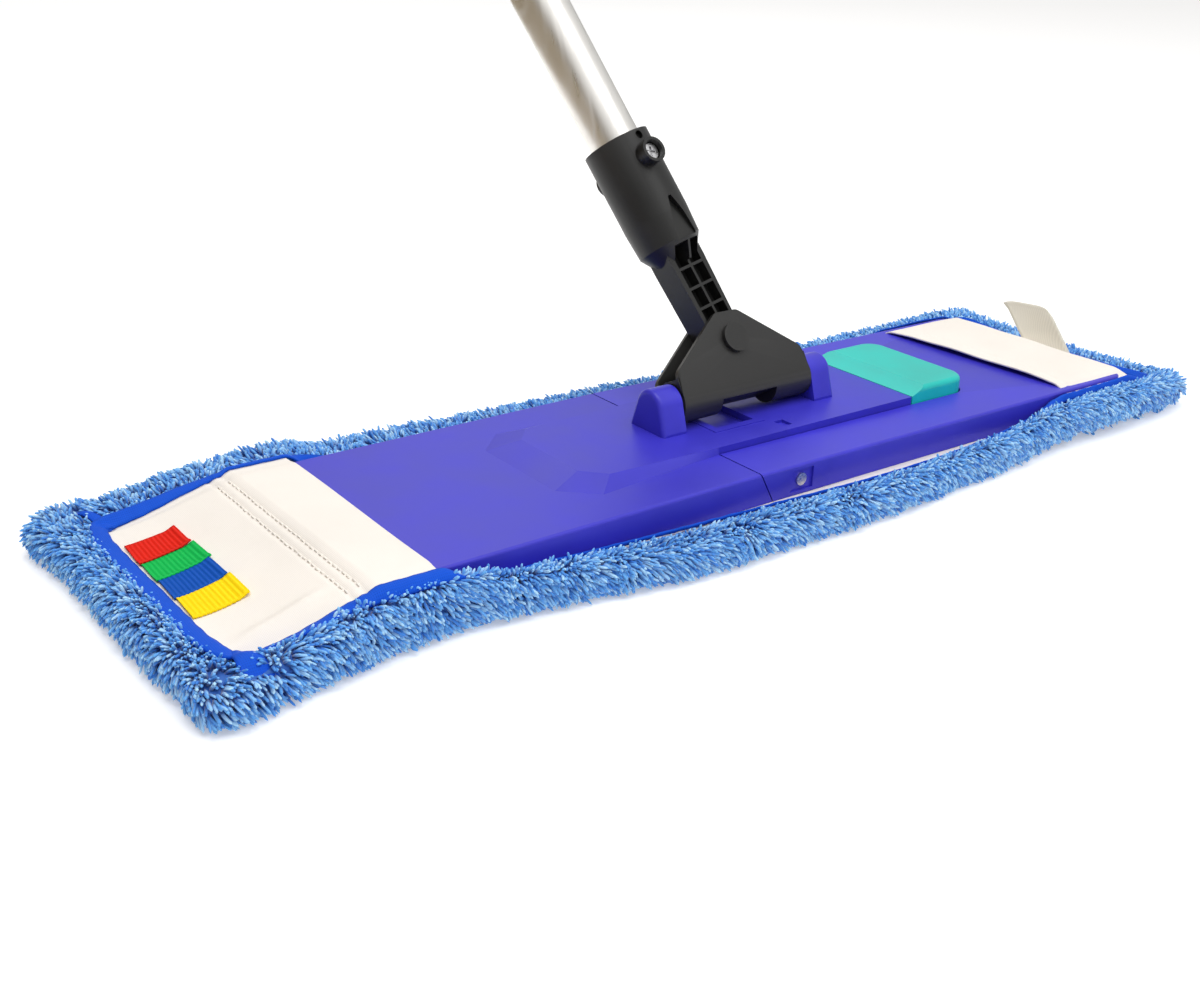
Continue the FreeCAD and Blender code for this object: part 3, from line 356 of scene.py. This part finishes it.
def sheet_mesh(top, thickness):
    """Vertices and faces of a closed thin sheet from a grid (rows, columns, 3) of its top side."""
    rows, columns = top.shape[:2]
    du = np.gradient(top, axis=0)
    dv = np.gradient(top, axis=1)
    normal = np.cross(du, dv)
    normal /= np.linalg.norm(normal, axis=2, keepdims=True)
    if normal[..., 2].mean() < 0:
        normal = -normal
    under = top - normal * thickness
    vertices = np.vstack([top.reshape(-1, 3), under.reshape(-1, 3)])
    count = rows * columns
    upper = grid_faces(rows, columns)
    lower = [tuple(count + i for i in reversed(face)) for face in upper]
    rim = [i * columns for i in range(rows)] + [(rows - 1) * columns + j for j in range(1, columns)]
    rim += [i * columns + columns - 1 for i in range(rows - 2, -1, -1)] + list(range(columns - 2, 0, -1))
    sides = []
    for a, b in zip(rim, rim[1:] + rim[:1]):
        sides.append((b, a, count + a, count + b))
    return vertices, upper + lower + sides


def repair_normals(piece):
    """Faces turned to point outwards."""
    work = bmesh.new()
    work.from_mesh(piece.data)
    bmesh.ops.recalc_face_normals(work, faces=work.faces)
    work.to_mesh(piece.data)
    work.free()
    return piece


def strands(root, direction, bend, length, radius, rng, sides=4):
    """Vertices, faces, painted shade-to-highlight levels and tone values of many curved tapering strands."""
    count = len(root)
    up = np.where(np.abs(direction[:, 2:3]) > 0.9, [[1.0, 0, 0]], [[0, 0, 1.0]])
    side = np.cross(direction, up)
    side /= np.linalg.norm(side, axis=1, keepdims=True)
    other = np.cross(direction, side)
    levels = [(0.0, 0.95), (0.5, 1.12), (0.9, 0.95)]
    angles = np.arange(sides) * math.tau / sides
    rings = []
    for t, swell in levels:
        centre = root + direction * (length * t)[:, None] + bend * (length * t * t)[:, None]
        ring = centre[:, None, :] + (swell * radius)[:, None, None] * (
            np.cos(angles)[None, :, None] * side[:, None, :] + np.sin(angles)[None, :, None] * other[:, None, :])
        rings.append(ring)
    tip = (root + direction * length[:, None] + bend * length[:, None])[:, None, :]
    points = np.concatenate(rings + [tip], axis=1)
    per = points.shape[1]
    offsets = (np.arange(count) * per)[:, None, None]
    quads = []
    for level in range(len(levels) - 1):
        for k in range(sides):
            a, b = level * sides + k, level * sides + (k + 1) % sides
            quads.append((a, b, b + sides, a + sides))
    last = (len(levels) - 1) * sides
    caps = [(last + k, last + (k + 1) % sides, per - 1) for k in range(sides)]
    foot = [tuple(range(sides - 1, -1, -1))]
    quads = (np.array(quads)[None] + offsets).reshape(-1, 4)
    caps = (np.array(caps)[None] + offsets).reshape(-1, 3)
    foot = (np.array(foot)[None] + offsets).reshape(-1, sides)
    # Painted shade at the root (0) rising to a painted highlight at the tip (1).
    shade_levels = np.concatenate([np.full(sides, 0.0), np.full(sides, 0.55), np.full(sides, 0.9), [1.0]])
    tone = np.repeat(rng.beta(2.0, 2.0, count), per)
    return points.reshape(-1, 3), (quads, caps, foot), np.tile(shade_levels, count), tone


def strand_piece(name, data):
    """A mesh of strands with its painted shade-to-highlight levels and tone values, built without Python loops
    over faces.
    """
    points, (quads, caps, foot), shade_levels, tone = data
    mesh = bpy.data.meshes.new(name)
    mesh.vertices.add(len(points))
    mesh.vertices.foreach_set("co", (points * MM).astype(np.float32).ravel())
    loops = np.concatenate([quads.ravel(), caps.ravel(), foot.ravel()])
    sizes = np.concatenate([np.full(len(quads), 4), np.full(len(caps), 3), np.full(len(foot), foot.shape[1])])
    mesh.loops.add(len(loops))
    mesh.loops.foreach_set("vertex_index", loops.astype(np.int32))
    mesh.polygons.add(len(sizes))
    mesh.polygons.foreach_set("loop_start", np.concatenate([[0], np.cumsum(sizes)[:-1]]).astype(np.int32))
    mesh.update(calc_edges=True)
    mesh.validate()
    for key, values in (("root_shade_tip_highlight", shade_levels), ("strand_tone", tone)):
        attribute = mesh.attributes.new(key, "FLOAT", "POINT")
        attribute.data.foreach_set("value", values.astype(np.float32))
    mesh.materials.append(MATERIALS["pile_blue"])
    mesh.shade_smooth()
    piece = bpy.data.objects.new(name, mesh)
    scene.collection.objects.link(piece)
    return piece


def across_fold(piece):
    """The piece's placement, baked into its mesh."""
    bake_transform(piece)
    return piece


# --------------------------------------------------------------------------- pad: border, sole and canvas

course = even_loop(BORDER, 1.6)
inner, outer, rise = course[:, 0:2], course[:, 2:4], course[:, 4]
lift = pocket_lift(inner[:, 0])
wave = ripple(course[:, 0], course[:, 1], 60.0, SEED)
outer = outer + (outer - inner) / np.linalg.norm(outer - inner, axis=1, keepdims=True) * (1.2 * wave)[:, None]
across = (outer - inner) / np.linalg.norm(outer - inner, axis=1, keepdims=True)
width = np.linalg.norm(outer - inner, axis=1)


def border_section(angle, station, shrink):
    """A point of the border's rounded section; angle 0 is outwards and a quarter turn is up."""
    half = width[station] / 2 - shrink
    centre = 0.5 * (inner[station] + outer[station])
    tall_half = (BORDER_TOP - 1.0 + lift[station]) / 2
    high = tall_half - shrink * 0.8
    mid = rise[station] + 0.6 + tall_half
    c, s = np.cos(angle), np.sin(angle)
    flat = np.sign(c) * np.abs(c) ** 0.8 * half
    tall = np.sign(s) * np.abs(s) ** 0.8 * high
    return np.column_stack([centre + across[station] * flat[:, None], mid + tall])


def under_corner_tape(x, y, z):
    """Where the corner patches hold the pile down, so no strand stands there."""
    hidden = np.zeros(len(x), bool)
    for start, end, width_start, width_end in CORNER_TAPES.values():
        (ax, ay), (bx, by) = start, end
        length = math.hypot(bx - ax, by - ay)
        ux, uy = (bx - ax) / length, (by - ay) / length
        t = ((x - ax) * ux + (y - ay) * uy) / length
        half = 0.5 * (width_start + (width_end - width_start) * np.clip(t, 0, 1)) - 0.6
        hidden |= (t > 0) & (t < 0.92) & (np.abs((x - ax) * uy - (y - ay) * ux) < half) & (z > 7)
    return hidden


def make_border_core():
    """The stuffed roll under the border's strands."""
    rows, columns = len(course), 14
    stations = np.repeat(np.arange(rows), columns)
    angles = np.tile(np.arange(columns) * math.tau / columns, rows)
    points = border_section(angles, stations, 2.2)
    core = make_piece("pad_border_core", points, grid_faces(rows, columns, True, True), "pile_blue")
    # Painted shade: the roll takes the strands' dark root colour, as the shadow seen between the strands.
    for key, level in (("root_shade_tip_highlight", 0.15), ("strand_tone", 0.3)):
        attribute = core.data.attributes.new(key, "FLOAT", "POINT")
        attribute.data.foreach_set("value", np.full(len(points), level, np.float32))
    repair_normals(core)
    return across_fold(core)


def make_border_strands():
    """Roots, directions, bends, lengths and radii of the border's strands."""
    rng = np.random.default_rng(SEED + 1)
    count = BORDER_STRANDS
    station = rng.integers(0, len(course), count)
    angle = rng.uniform(-0.62 * math.pi, 0.81 * math.pi, count)
    root = border_section(angle, station, 2.6)
    ahead = border_section(angle - 0.02, station, 2.6)
    down = ahead - root
    down /= np.linalg.norm(down, axis=1, keepdims=True)
    along = np.column_stack([-across[station, 1], across[station, 0], np.zeros(count)])
    normal = np.cross(along, down)
    centre = np.column_stack([0.5 * (inner[station] + outer[station]), rise[station] + 7.6])
    normal *= np.sign(np.einsum("ij,ij->i", normal, root - centre))[:, None]
    # The strands are combed along the border, less on its top than on its outer side.
    on_side = smoothstep(0.42 * math.pi, 0.15 * math.pi, angle)
    comb = 0.15 + 0.55 * on_side + 0.5 * ripple(root[:, 0], root[:, 1], 30.0, SEED + 2)
    direction = normal + along * comb[:, None] + down * (0.15 + 0.35 * on_side)[:, None] \
        + 0.26 * rng.normal(size=(count, 3))
    direction /= np.linalg.norm(direction, axis=1, keepdims=True)
    bend = down * 0.30 + along * (0.35 * comb)[:, None] + 0.16 * rng.normal(size=(count, 3))
    bend[:, 2] -= 0.15
    length = rng.uniform(3.2, 4.7, count)
    towards_plate = smoothstep(0.56 * math.pi, 0.80 * math.pi, angle)
    length = length * (1 - 0.5 * towards_plate)
    radius = rng.uniform(0.44, 0.64, count)
    root[:, 2] = np.maximum(root[:, 2], 1.2)
    end_height = root[:, 2] + length * (direction[:, 2] + bend[:, 2])
    too_low = end_height < radius + 0.2
    bend[:, 2] += np.where(too_low, (radius + 0.2 - end_height) / length, 0)
    kept = ~under_corner_tape(root[:, 0], root[:, 1], root[:, 2])
    return root[kept], direction[kept], bend[kept], length[kept], radius[kept]


def make_sole_strands():
    """The same for the rows of strands under the pad."""
    rng = np.random.default_rng(SEED + 3)
    count = SOLE_STRANDS
    x, y = rng.uniform(-254, 226, count), rng.uniform(-60, 60, count)
    rows = np.round(x / 3.2) * 3.2 + rng.normal(scale=0.35, size=count)
    root = np.column_stack([rows, y, np.full(count, 4.4)])
    direction = np.column_stack([0.5 * rng.normal(size=count), 0.5 * rng.normal(size=count), np.full(count, -1.0)])
    direction /= np.linalg.norm(direction, axis=1, keepdims=True)
    bend = np.column_stack([0.5 * rng.normal(size=(count, 2)), np.full(count, 0.15)])
    length = rng.uniform(3.6, 5.4, count)
    radius = rng.uniform(0.75, 1.05, count)
    end_height = root[:, 2] + length * (direction[:, 2] + bend[:, 2])
    floor = radius + 0.15
    bend[:, 2] += np.where(end_height < floor, (floor - end_height) / length, 0)
    return root, direction, bend, length, radius


def make_pile():
    """The pad's strands, in pieces that ride on a plate or stay fixed in the middle across the fold."""
    made = []
    for label, data in (("border", make_border_strands()), ("sole", make_sole_strands())):
        x = data[0][:, 0]
        zones = {"left_a": x < -232, "left_b": (x >= -232) & (x < -130), "left_c": (x >= -130) & (x < FOLD_START),
                 "middle": (x >= FOLD_START) & (x <= FOLD_END),
                 "right_a": (x > FOLD_END) & (x <= 110), "right_b": (x > 110) & (x <= 200), "right_c": x > 200}
        for zone, chosen in zones.items():
            rng = np.random.default_rng(SEED + len(made))
            values = strands(*(column[chosen] for column in data), rng)
            piece = strand_piece(f"pad_pile_{label}_{zone}", values)
            if zone == "middle":
                across_fold(piece)
            else:
                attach(piece, "left_half" if zone.startswith("left") else "right_half")
            made.append(piece)
    return made


def seam_lines(x):
    """Where the border's inner seam runs in front of and behind each place along the pad."""
    front = course[(inner[:, 1] < -40)]
    back = course[(inner[:, 1] > 40)]
    front, back = front[np.argsort(front[:, 0])], back[np.argsort(back[:, 0])]
    return np.interp(x, front[:, 0], front[:, 1]), np.interp(x, back[:, 0], back[:, 1])


def plan_grid(columns, rows, low_x, high_x):
    """Points of the pad's inner field: columns along X, rows from the front seam to the back seam."""
    x = np.linspace(low_x, high_x, columns)
    y_low, y_high = seam_lines(x)
    y_low, y_high = y_low - 1.5, y_high + 1.5
    t = np.linspace(0, 1, rows)[None, :]
    y = y_low[:, None] * (1 - t) + y_high[:, None] * t
    return np.repeat(x[:, None], rows, 1), y


def make_canvas():
    """The cloth that the frame lies on, sewn to the border all round."""
    x, y = plan_grid(170, 46, -253.5, 225.0)
    z = np.full_like(x, 10.8)
    beside = smoothstep(55.5, 60.5, np.abs(y))
    beyond = np.maximum(smoothstep(201, 226, x), smoothstep(-201, -252, x))
    free = np.maximum(beside, beyond)
    z = z + free * (0.7 + 0.5 * ripple(x, y, 45.0, SEED + 5)) + 0.9 * beside
    z = z + beside * 4.0 * smoothstep(110, 160, x) * smoothstep(222, 200, x)
    vertices, faces = sheet_mesh(np.dstack([x, y, z]), 0.7)
    canvas = make_piece("pad_canvas", vertices, faces, "canvas_white")
    repair_normals(canvas)
    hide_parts("canvas_left", "canvas_right")
    return across_fold(canvas)


def make_sole():
    """The quilted layer between the canvas and the pile."""
    x, y = plan_grid(120, 30, -256.0, 229.0)
    edge = 1 - np.minimum(1, np.minimum(60 - np.abs(y), 14) / 14) ** 2
    z = 9.6 - 2.2 * np.clip(edge, 0, 1) + 0.15 * ripple(x, y, 30.0, SEED + 6)
    vertices, faces = sheet_mesh(np.dstack([x, y, z]), 5.4)
    sole = make_piece("pad_sole", vertices, faces, "pile_blue")
    # Painted shade: the layer takes the strands' dark root colour, as the shadow seen between the strands.
    for key, level in (("root_shade_tip_highlight", 0.1), ("strand_tone", 0.25)):
        attribute = sole.data.attributes.new(key, "FLOAT", "POINT")
        attribute.data.foreach_set("value", np.full(len(vertices), level, np.float32))
    repair_normals(sole)
    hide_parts("pad_left", "pad_middle", "pad_right")
    return across_fold(sole)


# --------------------------------------------------------------------------- pad: binding tape

def tape_height():
    """How high the tape sits round the inner edge: on the flaps' edges, low beside the bare canvas."""
    x, y = inner[:, 0], inner[:, 1]
    bare = 0.6 * rise + 12.4
    on_left = left_flap_height(np.minimum(x, POCKET_LEFT), np.clip(y, -56, 56)) + 0.5
    on_right = right_flap_height(np.clip(x, POCKET_RIGHT, 219), np.clip(y, -55, 55)) + 0.5
    left, right = smoothstep(-164, -180, x), smoothstep(122, 154, x)
    return bare + (on_left - bare) * left + (on_right - bare) * right


def tape_width():
    """Wide and flat round the left pocket, a thin line beside the bare canvas."""
    x = inner[:, 0]
    left = smoothstep(-140, -176, x)
    right = smoothstep(196, 222, x) + 0.25 * smoothstep(140, 160, x)
    return 1.7 + 3.4 * left + 1.6 * np.clip(right, 0, 1) + 1.6 * smoothstep(-246, -252, x)


def make_binding():
    """Tape folded over the seam between the canvas and the border."""
    rows = len(course)
    base, broad = tape_height(), tape_width()
    seam_top = rise + BORDER_TOP + lift - 0.6
    on_flap = np.maximum(smoothstep(-164, -180, inner[:, 0]), smoothstep(140, 154, inner[:, 0]))
    start = 0.2 * ripple(inner[:, 0], inner[:, 1], 9.0, SEED + 7) - 1.0 + 1.3 * on_flap
    steps = np.linspace(0, 1, 6)
    points = []
    for i in range(rows):
        # From the canvas side out over the seam, then back along the underside.
        for t in steps:
            flat = inner[i] + across[i] * (start[i] + (broad[i] + 1.0 - 1.3 * on_flap[i]) * t)
            height = base[i] + (seam_top[i] - base[i]) * t * t + 0.5 * math.sin(math.pi * t) + 0.35
            points.append((flat[0], flat[1], height))
        for t in steps[::-1]:
            flat = inner[i] + across[i] * (start[i] + 0.3 + (broad[i] + 0.9 - 1.3 * on_flap[i]) * t)
            height = base[i] + (seam_top[i] - base[i]) * t * t + 0.3 * math.sin(math.pi * t) - 0.75
            points.append((flat[0], flat[1], height))
    faces = grid_faces(rows, 2 * len(steps), True, True)
    tape = make_piece("pad_binding", points, faces, "binding_blue")
    repair_normals(tape)
    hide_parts("binding_left", "binding_right")
    return across_fold(tape)


def make_corner_tape(name, heights, body):
    """A tape patch that lies across the border at a corner of the pad."""
    start, end, width_start, width_end = CORNER_TAPES[name]
    columns, rows = 18, 9
    t = np.linspace(0, 1, columns)[:, None]
    s = np.linspace(-1, 1, rows)[None, :]
    start, end = np.array(start, float), np.array(end, float)
    along = (end - start) / np.linalg.norm(end - start)
    side = np.array([-along[1], along[0]])
    half = 0.5 * (width_start * (1 - t) + width_end * t)
    flat = start + (end - start) * t[..., None] + side * (half * s)[..., None]
    low, high, last = heights
    z = low + (high - low) * smoothstep(0.0, 0.45, t) - (high - last) * smoothstep(0.5, 1.0, t) ** 1.5 - 0.7 * s**2
    vertices, faces = sheet_mesh(np.dstack([flat, z + 0 * s]), 0.8)
    patch = make_piece(name, vertices, faces, "binding_blue")
    repair_normals(patch)
    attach(patch, body)
    return patch


# --------------------------------------------------------------------------- pad: pockets, tabs and label

def left_flap_height(x, y):
    """The flap lies on the plate's end, then sags to the pad's end."""
    beyond = np.clip((PLATE_END_LEFT - 2 - x) / 49.0, 0, 1)
    top = PLATE_TOP + 1.35
    slope = top - (top - 13.4) * (1 - (1 - beyond) ** 1.25)
    hollow = -1.1 * np.sin(beyond * math.pi) * (1 - (y / 62) ** 2)
    waves = 0.55 * ripple(x, y, 52.0, SEED + 8) * smoothstep(0.05, 0.5, beyond)
    fold = 1.6 * np.exp(-((y + 45 - 0.10 * (x + 225)) / 3.0) ** 2) * smoothstep(0.15, 0.45, beyond) \
        * smoothstep(1.0, 0.75, beyond)
    seam = -0.55 * (np.exp(-((x + 206.0) / 1.1) ** 2) + np.exp(-((x + 210.5) / 1.1) ** 2))
    sides = -2.4 * smoothstep(49.5, 55.6, np.abs(y)) * (0.35 + 0.65 * beyond)
    return slope + hollow + waves + fold + seam + sides


def right_flap_height(x, y):
    """The flap puffs up at its mouth, lies on the plate's end, then drops over it to the pad."""
    beyond = np.clip((x - PLATE_END_RIGHT) / 20.0, 0, 1)
    top = PLATE_TOP + 1.35
    slope = top - (top - 12.3) * beyond ** 1.15 + 0.25 * ripple(x, y, 40.0, SEED + 9)
    lip = 1.5 * np.exp(-((x - POCKET_RIGHT) / 13.0) ** 2) * smoothstep(54, 30, np.abs(y))
    puff = 0.7 * np.sin(np.clip((x - POCKET_RIGHT) / 50, 0, 1) * math.pi) * (1 - (y / 60) ** 2)
    hem = -0.35 * np.exp(-((x - POCKET_RIGHT - 8) / 1.0) ** 2)
    sides = -2.8 * smoothstep(47.5, 55.6, np.abs(y)) * (1 - beyond)
    return slope + lip + puff + hem + sides


def make_left_flap():
    """The left pocket's flap, with the colour tabs on it."""
    columns, rows = 110, 90
    t = np.linspace(0, 1, columns)[:, None]
    s = np.linspace(-1, 1, rows)[None, :]
    mouth = POCKET_LEFT - 0.5 + 0.6 * np.sin(s * 2.1)
    far = -253.4 + 0.4 * ripple(0 * s, 55 * s, 50.0, SEED + 10)
    x = mouth * (1 - t) + far * t
    y_low, y_high = seam_lines(x)
    y = np.where(s < 0, -s * (y_low - 0.6), s * (y_high + 0.6))
    z = left_flap_height(x, y)
    vertices, faces = sheet_mesh(np.dstack([x, y, z]), 0.8)
    flap = make_piece("pocket_flap_left", vertices, faces, "canvas_white")
    repair_normals(flap)
    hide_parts("pocket_left")
    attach(flap, "left_half")
    return flap


def make_right_flap():
    """The right pocket's flap."""
    columns, rows = 90, 80
    t = np.linspace(0, 1, columns)[:, None]
    y = np.linspace(-55.5, 55.3, rows)[None, :]
    mouth = POCKET_RIGHT - 0.5 - 0.06 * y
    far = 220.0 + 0.5 * ripple(0 * y, y, 45.0, SEED + 11)
    x = mouth * (1 - t) + far * t
    y = y * (1 - 0.16 * smoothstep(PLATE_END_RIGHT - 1, 220, x))
    z = right_flap_height(x, y)
    vertices, faces = sheet_mesh(np.dstack([x, y, z]), 0.8)
    flap = make_piece("pocket_flap_right", vertices, faces, "canvas_white")
    repair_normals(flap)
    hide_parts("pocket_right")
    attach(flap, "right_half")
    return flap


def make_stitches(name, rows, height, body):
    """Rows of short raised stitches: each row is (x at its front, x at its back, y from, y to)."""
    rng = np.random.default_rng(SEED + 12)
    points, faces = [], []
    for x_front, x_back, low, high in rows:
        for y in np.arange(low, high, 3.3):
            x = x_front + (x_back - x_front) * (y - low) / (high - low) + rng.normal(scale=0.12)
            first = len(points)
            for step in (-1.1, -0.8, 0.0, 0.8, 1.1):
                half = 0.12 if abs(step) > 1 else 0.36
                lift = 0.35 if abs(step) < 0.9 else 0.05
                z = float(height(np.array(x), np.array(y + step))) + lift
                for corner in range(6):
                    angle = corner * math.tau / 6
                    points.append((x + half * math.cos(angle), y + step, z + half * math.sin(angle)))
            ring = [[first + k * 6 + c for c in range(6)] for k in range(5)]
            for k in range(4):
                for c in range(6):
                    faces.append((ring[k][c], ring[k][(c + 1) % 6], ring[k + 1][(c + 1) % 6], ring[k + 1][c]))
            faces.append(tuple(reversed(ring[0])))
            faces.append(tuple(ring[4]))
    stitches = make_piece(name, points, faces, "canvas_white")
    repair_normals(stitches)
    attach(stitches, body)
    return stitches


def make_tabs():
    """Ribbed ribbon ends, each lapping a little over the next."""
    colours = ("red", "green", "blue", "yellow")
    for number, colour in enumerate(colours):
        middle = 27.0 - 15.3 * number
        columns, rows = 90, 16
        along = np.linspace(0, 1, columns)[:, None]
        side = np.linspace(-7.7, 7.7, rows)[None, :]
        x = -252.3 + 18.9 * along + 0.05 * side * (1 - along) + 0.9 * (number % 2) * along
        y = middle + side * (1.04 - 0.05 * along) + 1.2 * along
        ribs = 0.20 * np.sin(along * math.tau * 12)
        z = left_flap_height(x, y) + 0.95 + 0.25 * (3 - number) * smoothstep(4.5, 7.7, -side) \
            + ribs * smoothstep(7.7, 6.9, np.abs(side)) + 0.9 * smoothstep(0.8, 1.0, along)
        vertices, faces = sheet_mesh(np.dstack([x + 0 * side, y, z]), 0.7)
        tab = make_piece("code_tab_" + colour, vertices, faces, "tab_" + colour)
        repair_normals(tab)
        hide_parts("tab_" + colour)
        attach(tab, "left_half")


def make_care_label():
    """A folded blank ribbon loop, sewn in at the pad's right end and leaning sideways."""
    columns, rows = 48, 16
    t = np.linspace(0, 1, columns)[:, None]
    s = np.linspace(-1, 1, rows)[None, :]
    up = np.where(t < 0.5, t * 2, 2 - t * 2) ** 0.9
    apart = 0.9 * np.cos(t * math.pi)
    curl = 1.3 * np.sin(up * math.pi) * (1 - s**2) + 0.8 * s * up
    x = 221.5 + 3.4 * s - 4.9 * up + apart + curl * 0.95
    y = 3.5 - 11.0 * s + 15.9 * up + (apart + curl) * 0.3
    z = 13.0 + 24.0 * up - 1.6 * np.abs(s) ** 5 * smoothstep(0.75, 1.0, up)
    vertices, faces = sheet_mesh(np.dstack([x, y, z]), 0.35)
    label = make_piece("care_loop", vertices, faces, "canvas_white")
    label.data.materials[0] = MATERIALS["label_ribbon"]
    repair_normals(label)
    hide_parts("care_label")
    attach(label, "right_half")
    return label


make_sole()
make_canvas()
make_border_core()
make_pile()
make_binding()
make_corner_tape("corner_tape_front", (14.0, 16.5, 12.2), "left_half")
make_corner_tape("corner_tape_back", (13.2, 16.0, 12.0), "left_half")
make_left_flap()
make_right_flap()
make_stitches("pocket_stitches_left", [(-206.0, -206.0, -50, 51), (-210.5, -210.5, -50, 51)],
              left_flap_height, "left_half")
make_tabs()
make_care_label()


# --------------------------------------------------------------------------- studio and camera

def make_camera():
    """Camera in front of the mop and to its left, tilted down and turned a little about its axis."""
    yaw, pitch, roll = math.radians(37.7), math.radians(23.75), math.radians(1.98)
    right = Vector((math.cos(yaw), -math.sin(yaw), 0))
    look = Vector((math.sin(yaw) * math.cos(pitch), math.cos(yaw) * math.cos(pitch), -math.sin(pitch)))
    up = right.cross(look)
    right, up = math.cos(roll) * right + math.sin(roll) * up, -math.sin(roll) * right + math.cos(roll) * up
    data = bpy.data.cameras.new("camera")
    data.sensor_fit = "HORIZONTAL"
    data.sensor_width = 36.0
    data.lens = 43.38
    data.clip_start = 0.01
    camera = bpy.data.objects.new("camera", data)
    scene.collection.objects.link(camera)
    turn = Matrix((right, up, -look)).transposed().to_4x4()
    camera.matrix_world = Matrix.Translation((-0.3977, -0.4232, 0.2364)) @ turn
    scene.camera = camera


def make_area_light(name, place, aim, size, power):
    """A square light that points at a place."""
    data = bpy.data.lights.new(name, "AREA")
    data.shape = "SQUARE"
    data.size = size
    data.energy = power
    light = bpy.data.objects.new(name, data)
    scene.collection.objects.link(light)
    light.location = place
    light.rotation_euler = (Vector(aim) - Vector(place)).to_track_quat("-Z", "Y").to_euler()


def make_studio():
    """White floor, surround, lights and the dark screen."""
    floor_mesh = bpy.data.meshes.new("floor")
    half = FLOOR_HALF
    floor_mesh.from_pydata([(-half, -half, 0), (half, -half, 0), (half, half, 0), (-half, half, 0)], [],
                           [(0, 1, 2, 3)])
    floor = bpy.data.objects.new("floor", floor_mesh)
    scene.collection.objects.link(floor)
    material, _, shader = new_material("floor")
    shader.inputs["Base Color"].default_value = (0.80, 0.80, 0.80, 1)
    shader.inputs["Emission Color"].default_value = (1, 1, 1, 1)
    shader.inputs["Emission Strength"].default_value = 0.32
    shader.inputs["Roughness"].default_value = 0.9
    floor_mesh.materials.append(material)
    make_world()
    make_area_light("key", (-0.5, -0.2, 2.2), (0, 0, 0), 1.3, 24)
    make_area_light("fill", (0.35, -1.0, 1.5), (0, 0.1, 0.2), 1.2, 7)
    make_area_light("rim", (0.6, 1.6, 1.7), (0, 0, 0.1), 1.4, 6)
    make_flag()


def make_flag():
    """A warm dark screen behind the handle on the left; only shiny surfaces see it."""
    mesh = bpy.data.meshes.new("flag")
    mesh.from_pydata([(-0.62, -0.12, 0.003), (0.10, 0.75, 0.003), (0.10, 0.75, 0.9), (-0.62, -0.12, 0.9)], [],
                     [(0, 1, 2, 3)])
    flag = bpy.data.objects.new("flag", mesh)
    scene.collection.objects.link(flag)
    material, _, shader = new_material("flag")
    shader.inputs["Base Color"].default_value = (0.02, 0.015, 0.01, 1)
    shader.inputs["Emission Color"].default_value = (0.24, 0.19, 0.12, 1)
    shader.inputs["Emission Strength"].default_value = 1.0
    mesh.materials.append(material)
    flag.visible_camera = False
    flag.visible_diffuse = False
    flag.visible_shadow = False


def make_world():
    """A white surround, bright above, dimmer at the sides and warm and dark on the left."""
    world = bpy.data.worlds.new("world")
    scene.world = world
    world.use_nodes = True
    tree = world.node_tree
    way = node(tree, "TexCoord").outputs["Generated"]
    split = node(tree, "SeparateXYZ", {"Vector": way})
    height = node(tree, "MapRange", {"Value": split.outputs["Z"], "From Min": 0.0, "From Max": 0.8,
                                     "To Min": 0.42, "To Max": 0.9})
    towards = node(tree, "VectorMath", {0: way, 1: (-0.86, 0.45, 0.25)}, operation="DOT_PRODUCT")
    left = colour_ramp(tree, towards.outputs["Value"], [(0.35, (1, 1, 1)), (0.75, (0.22, 0.17, 0.11))])
    background = tree.nodes["Background"]
    tree.links.new(left, background.inputs["Color"])
    tree.links.new(height.outputs["Result"], background.inputs["Strength"])


make_camera()
make_studio()
scene.view_settings.view_transform = "Standard"
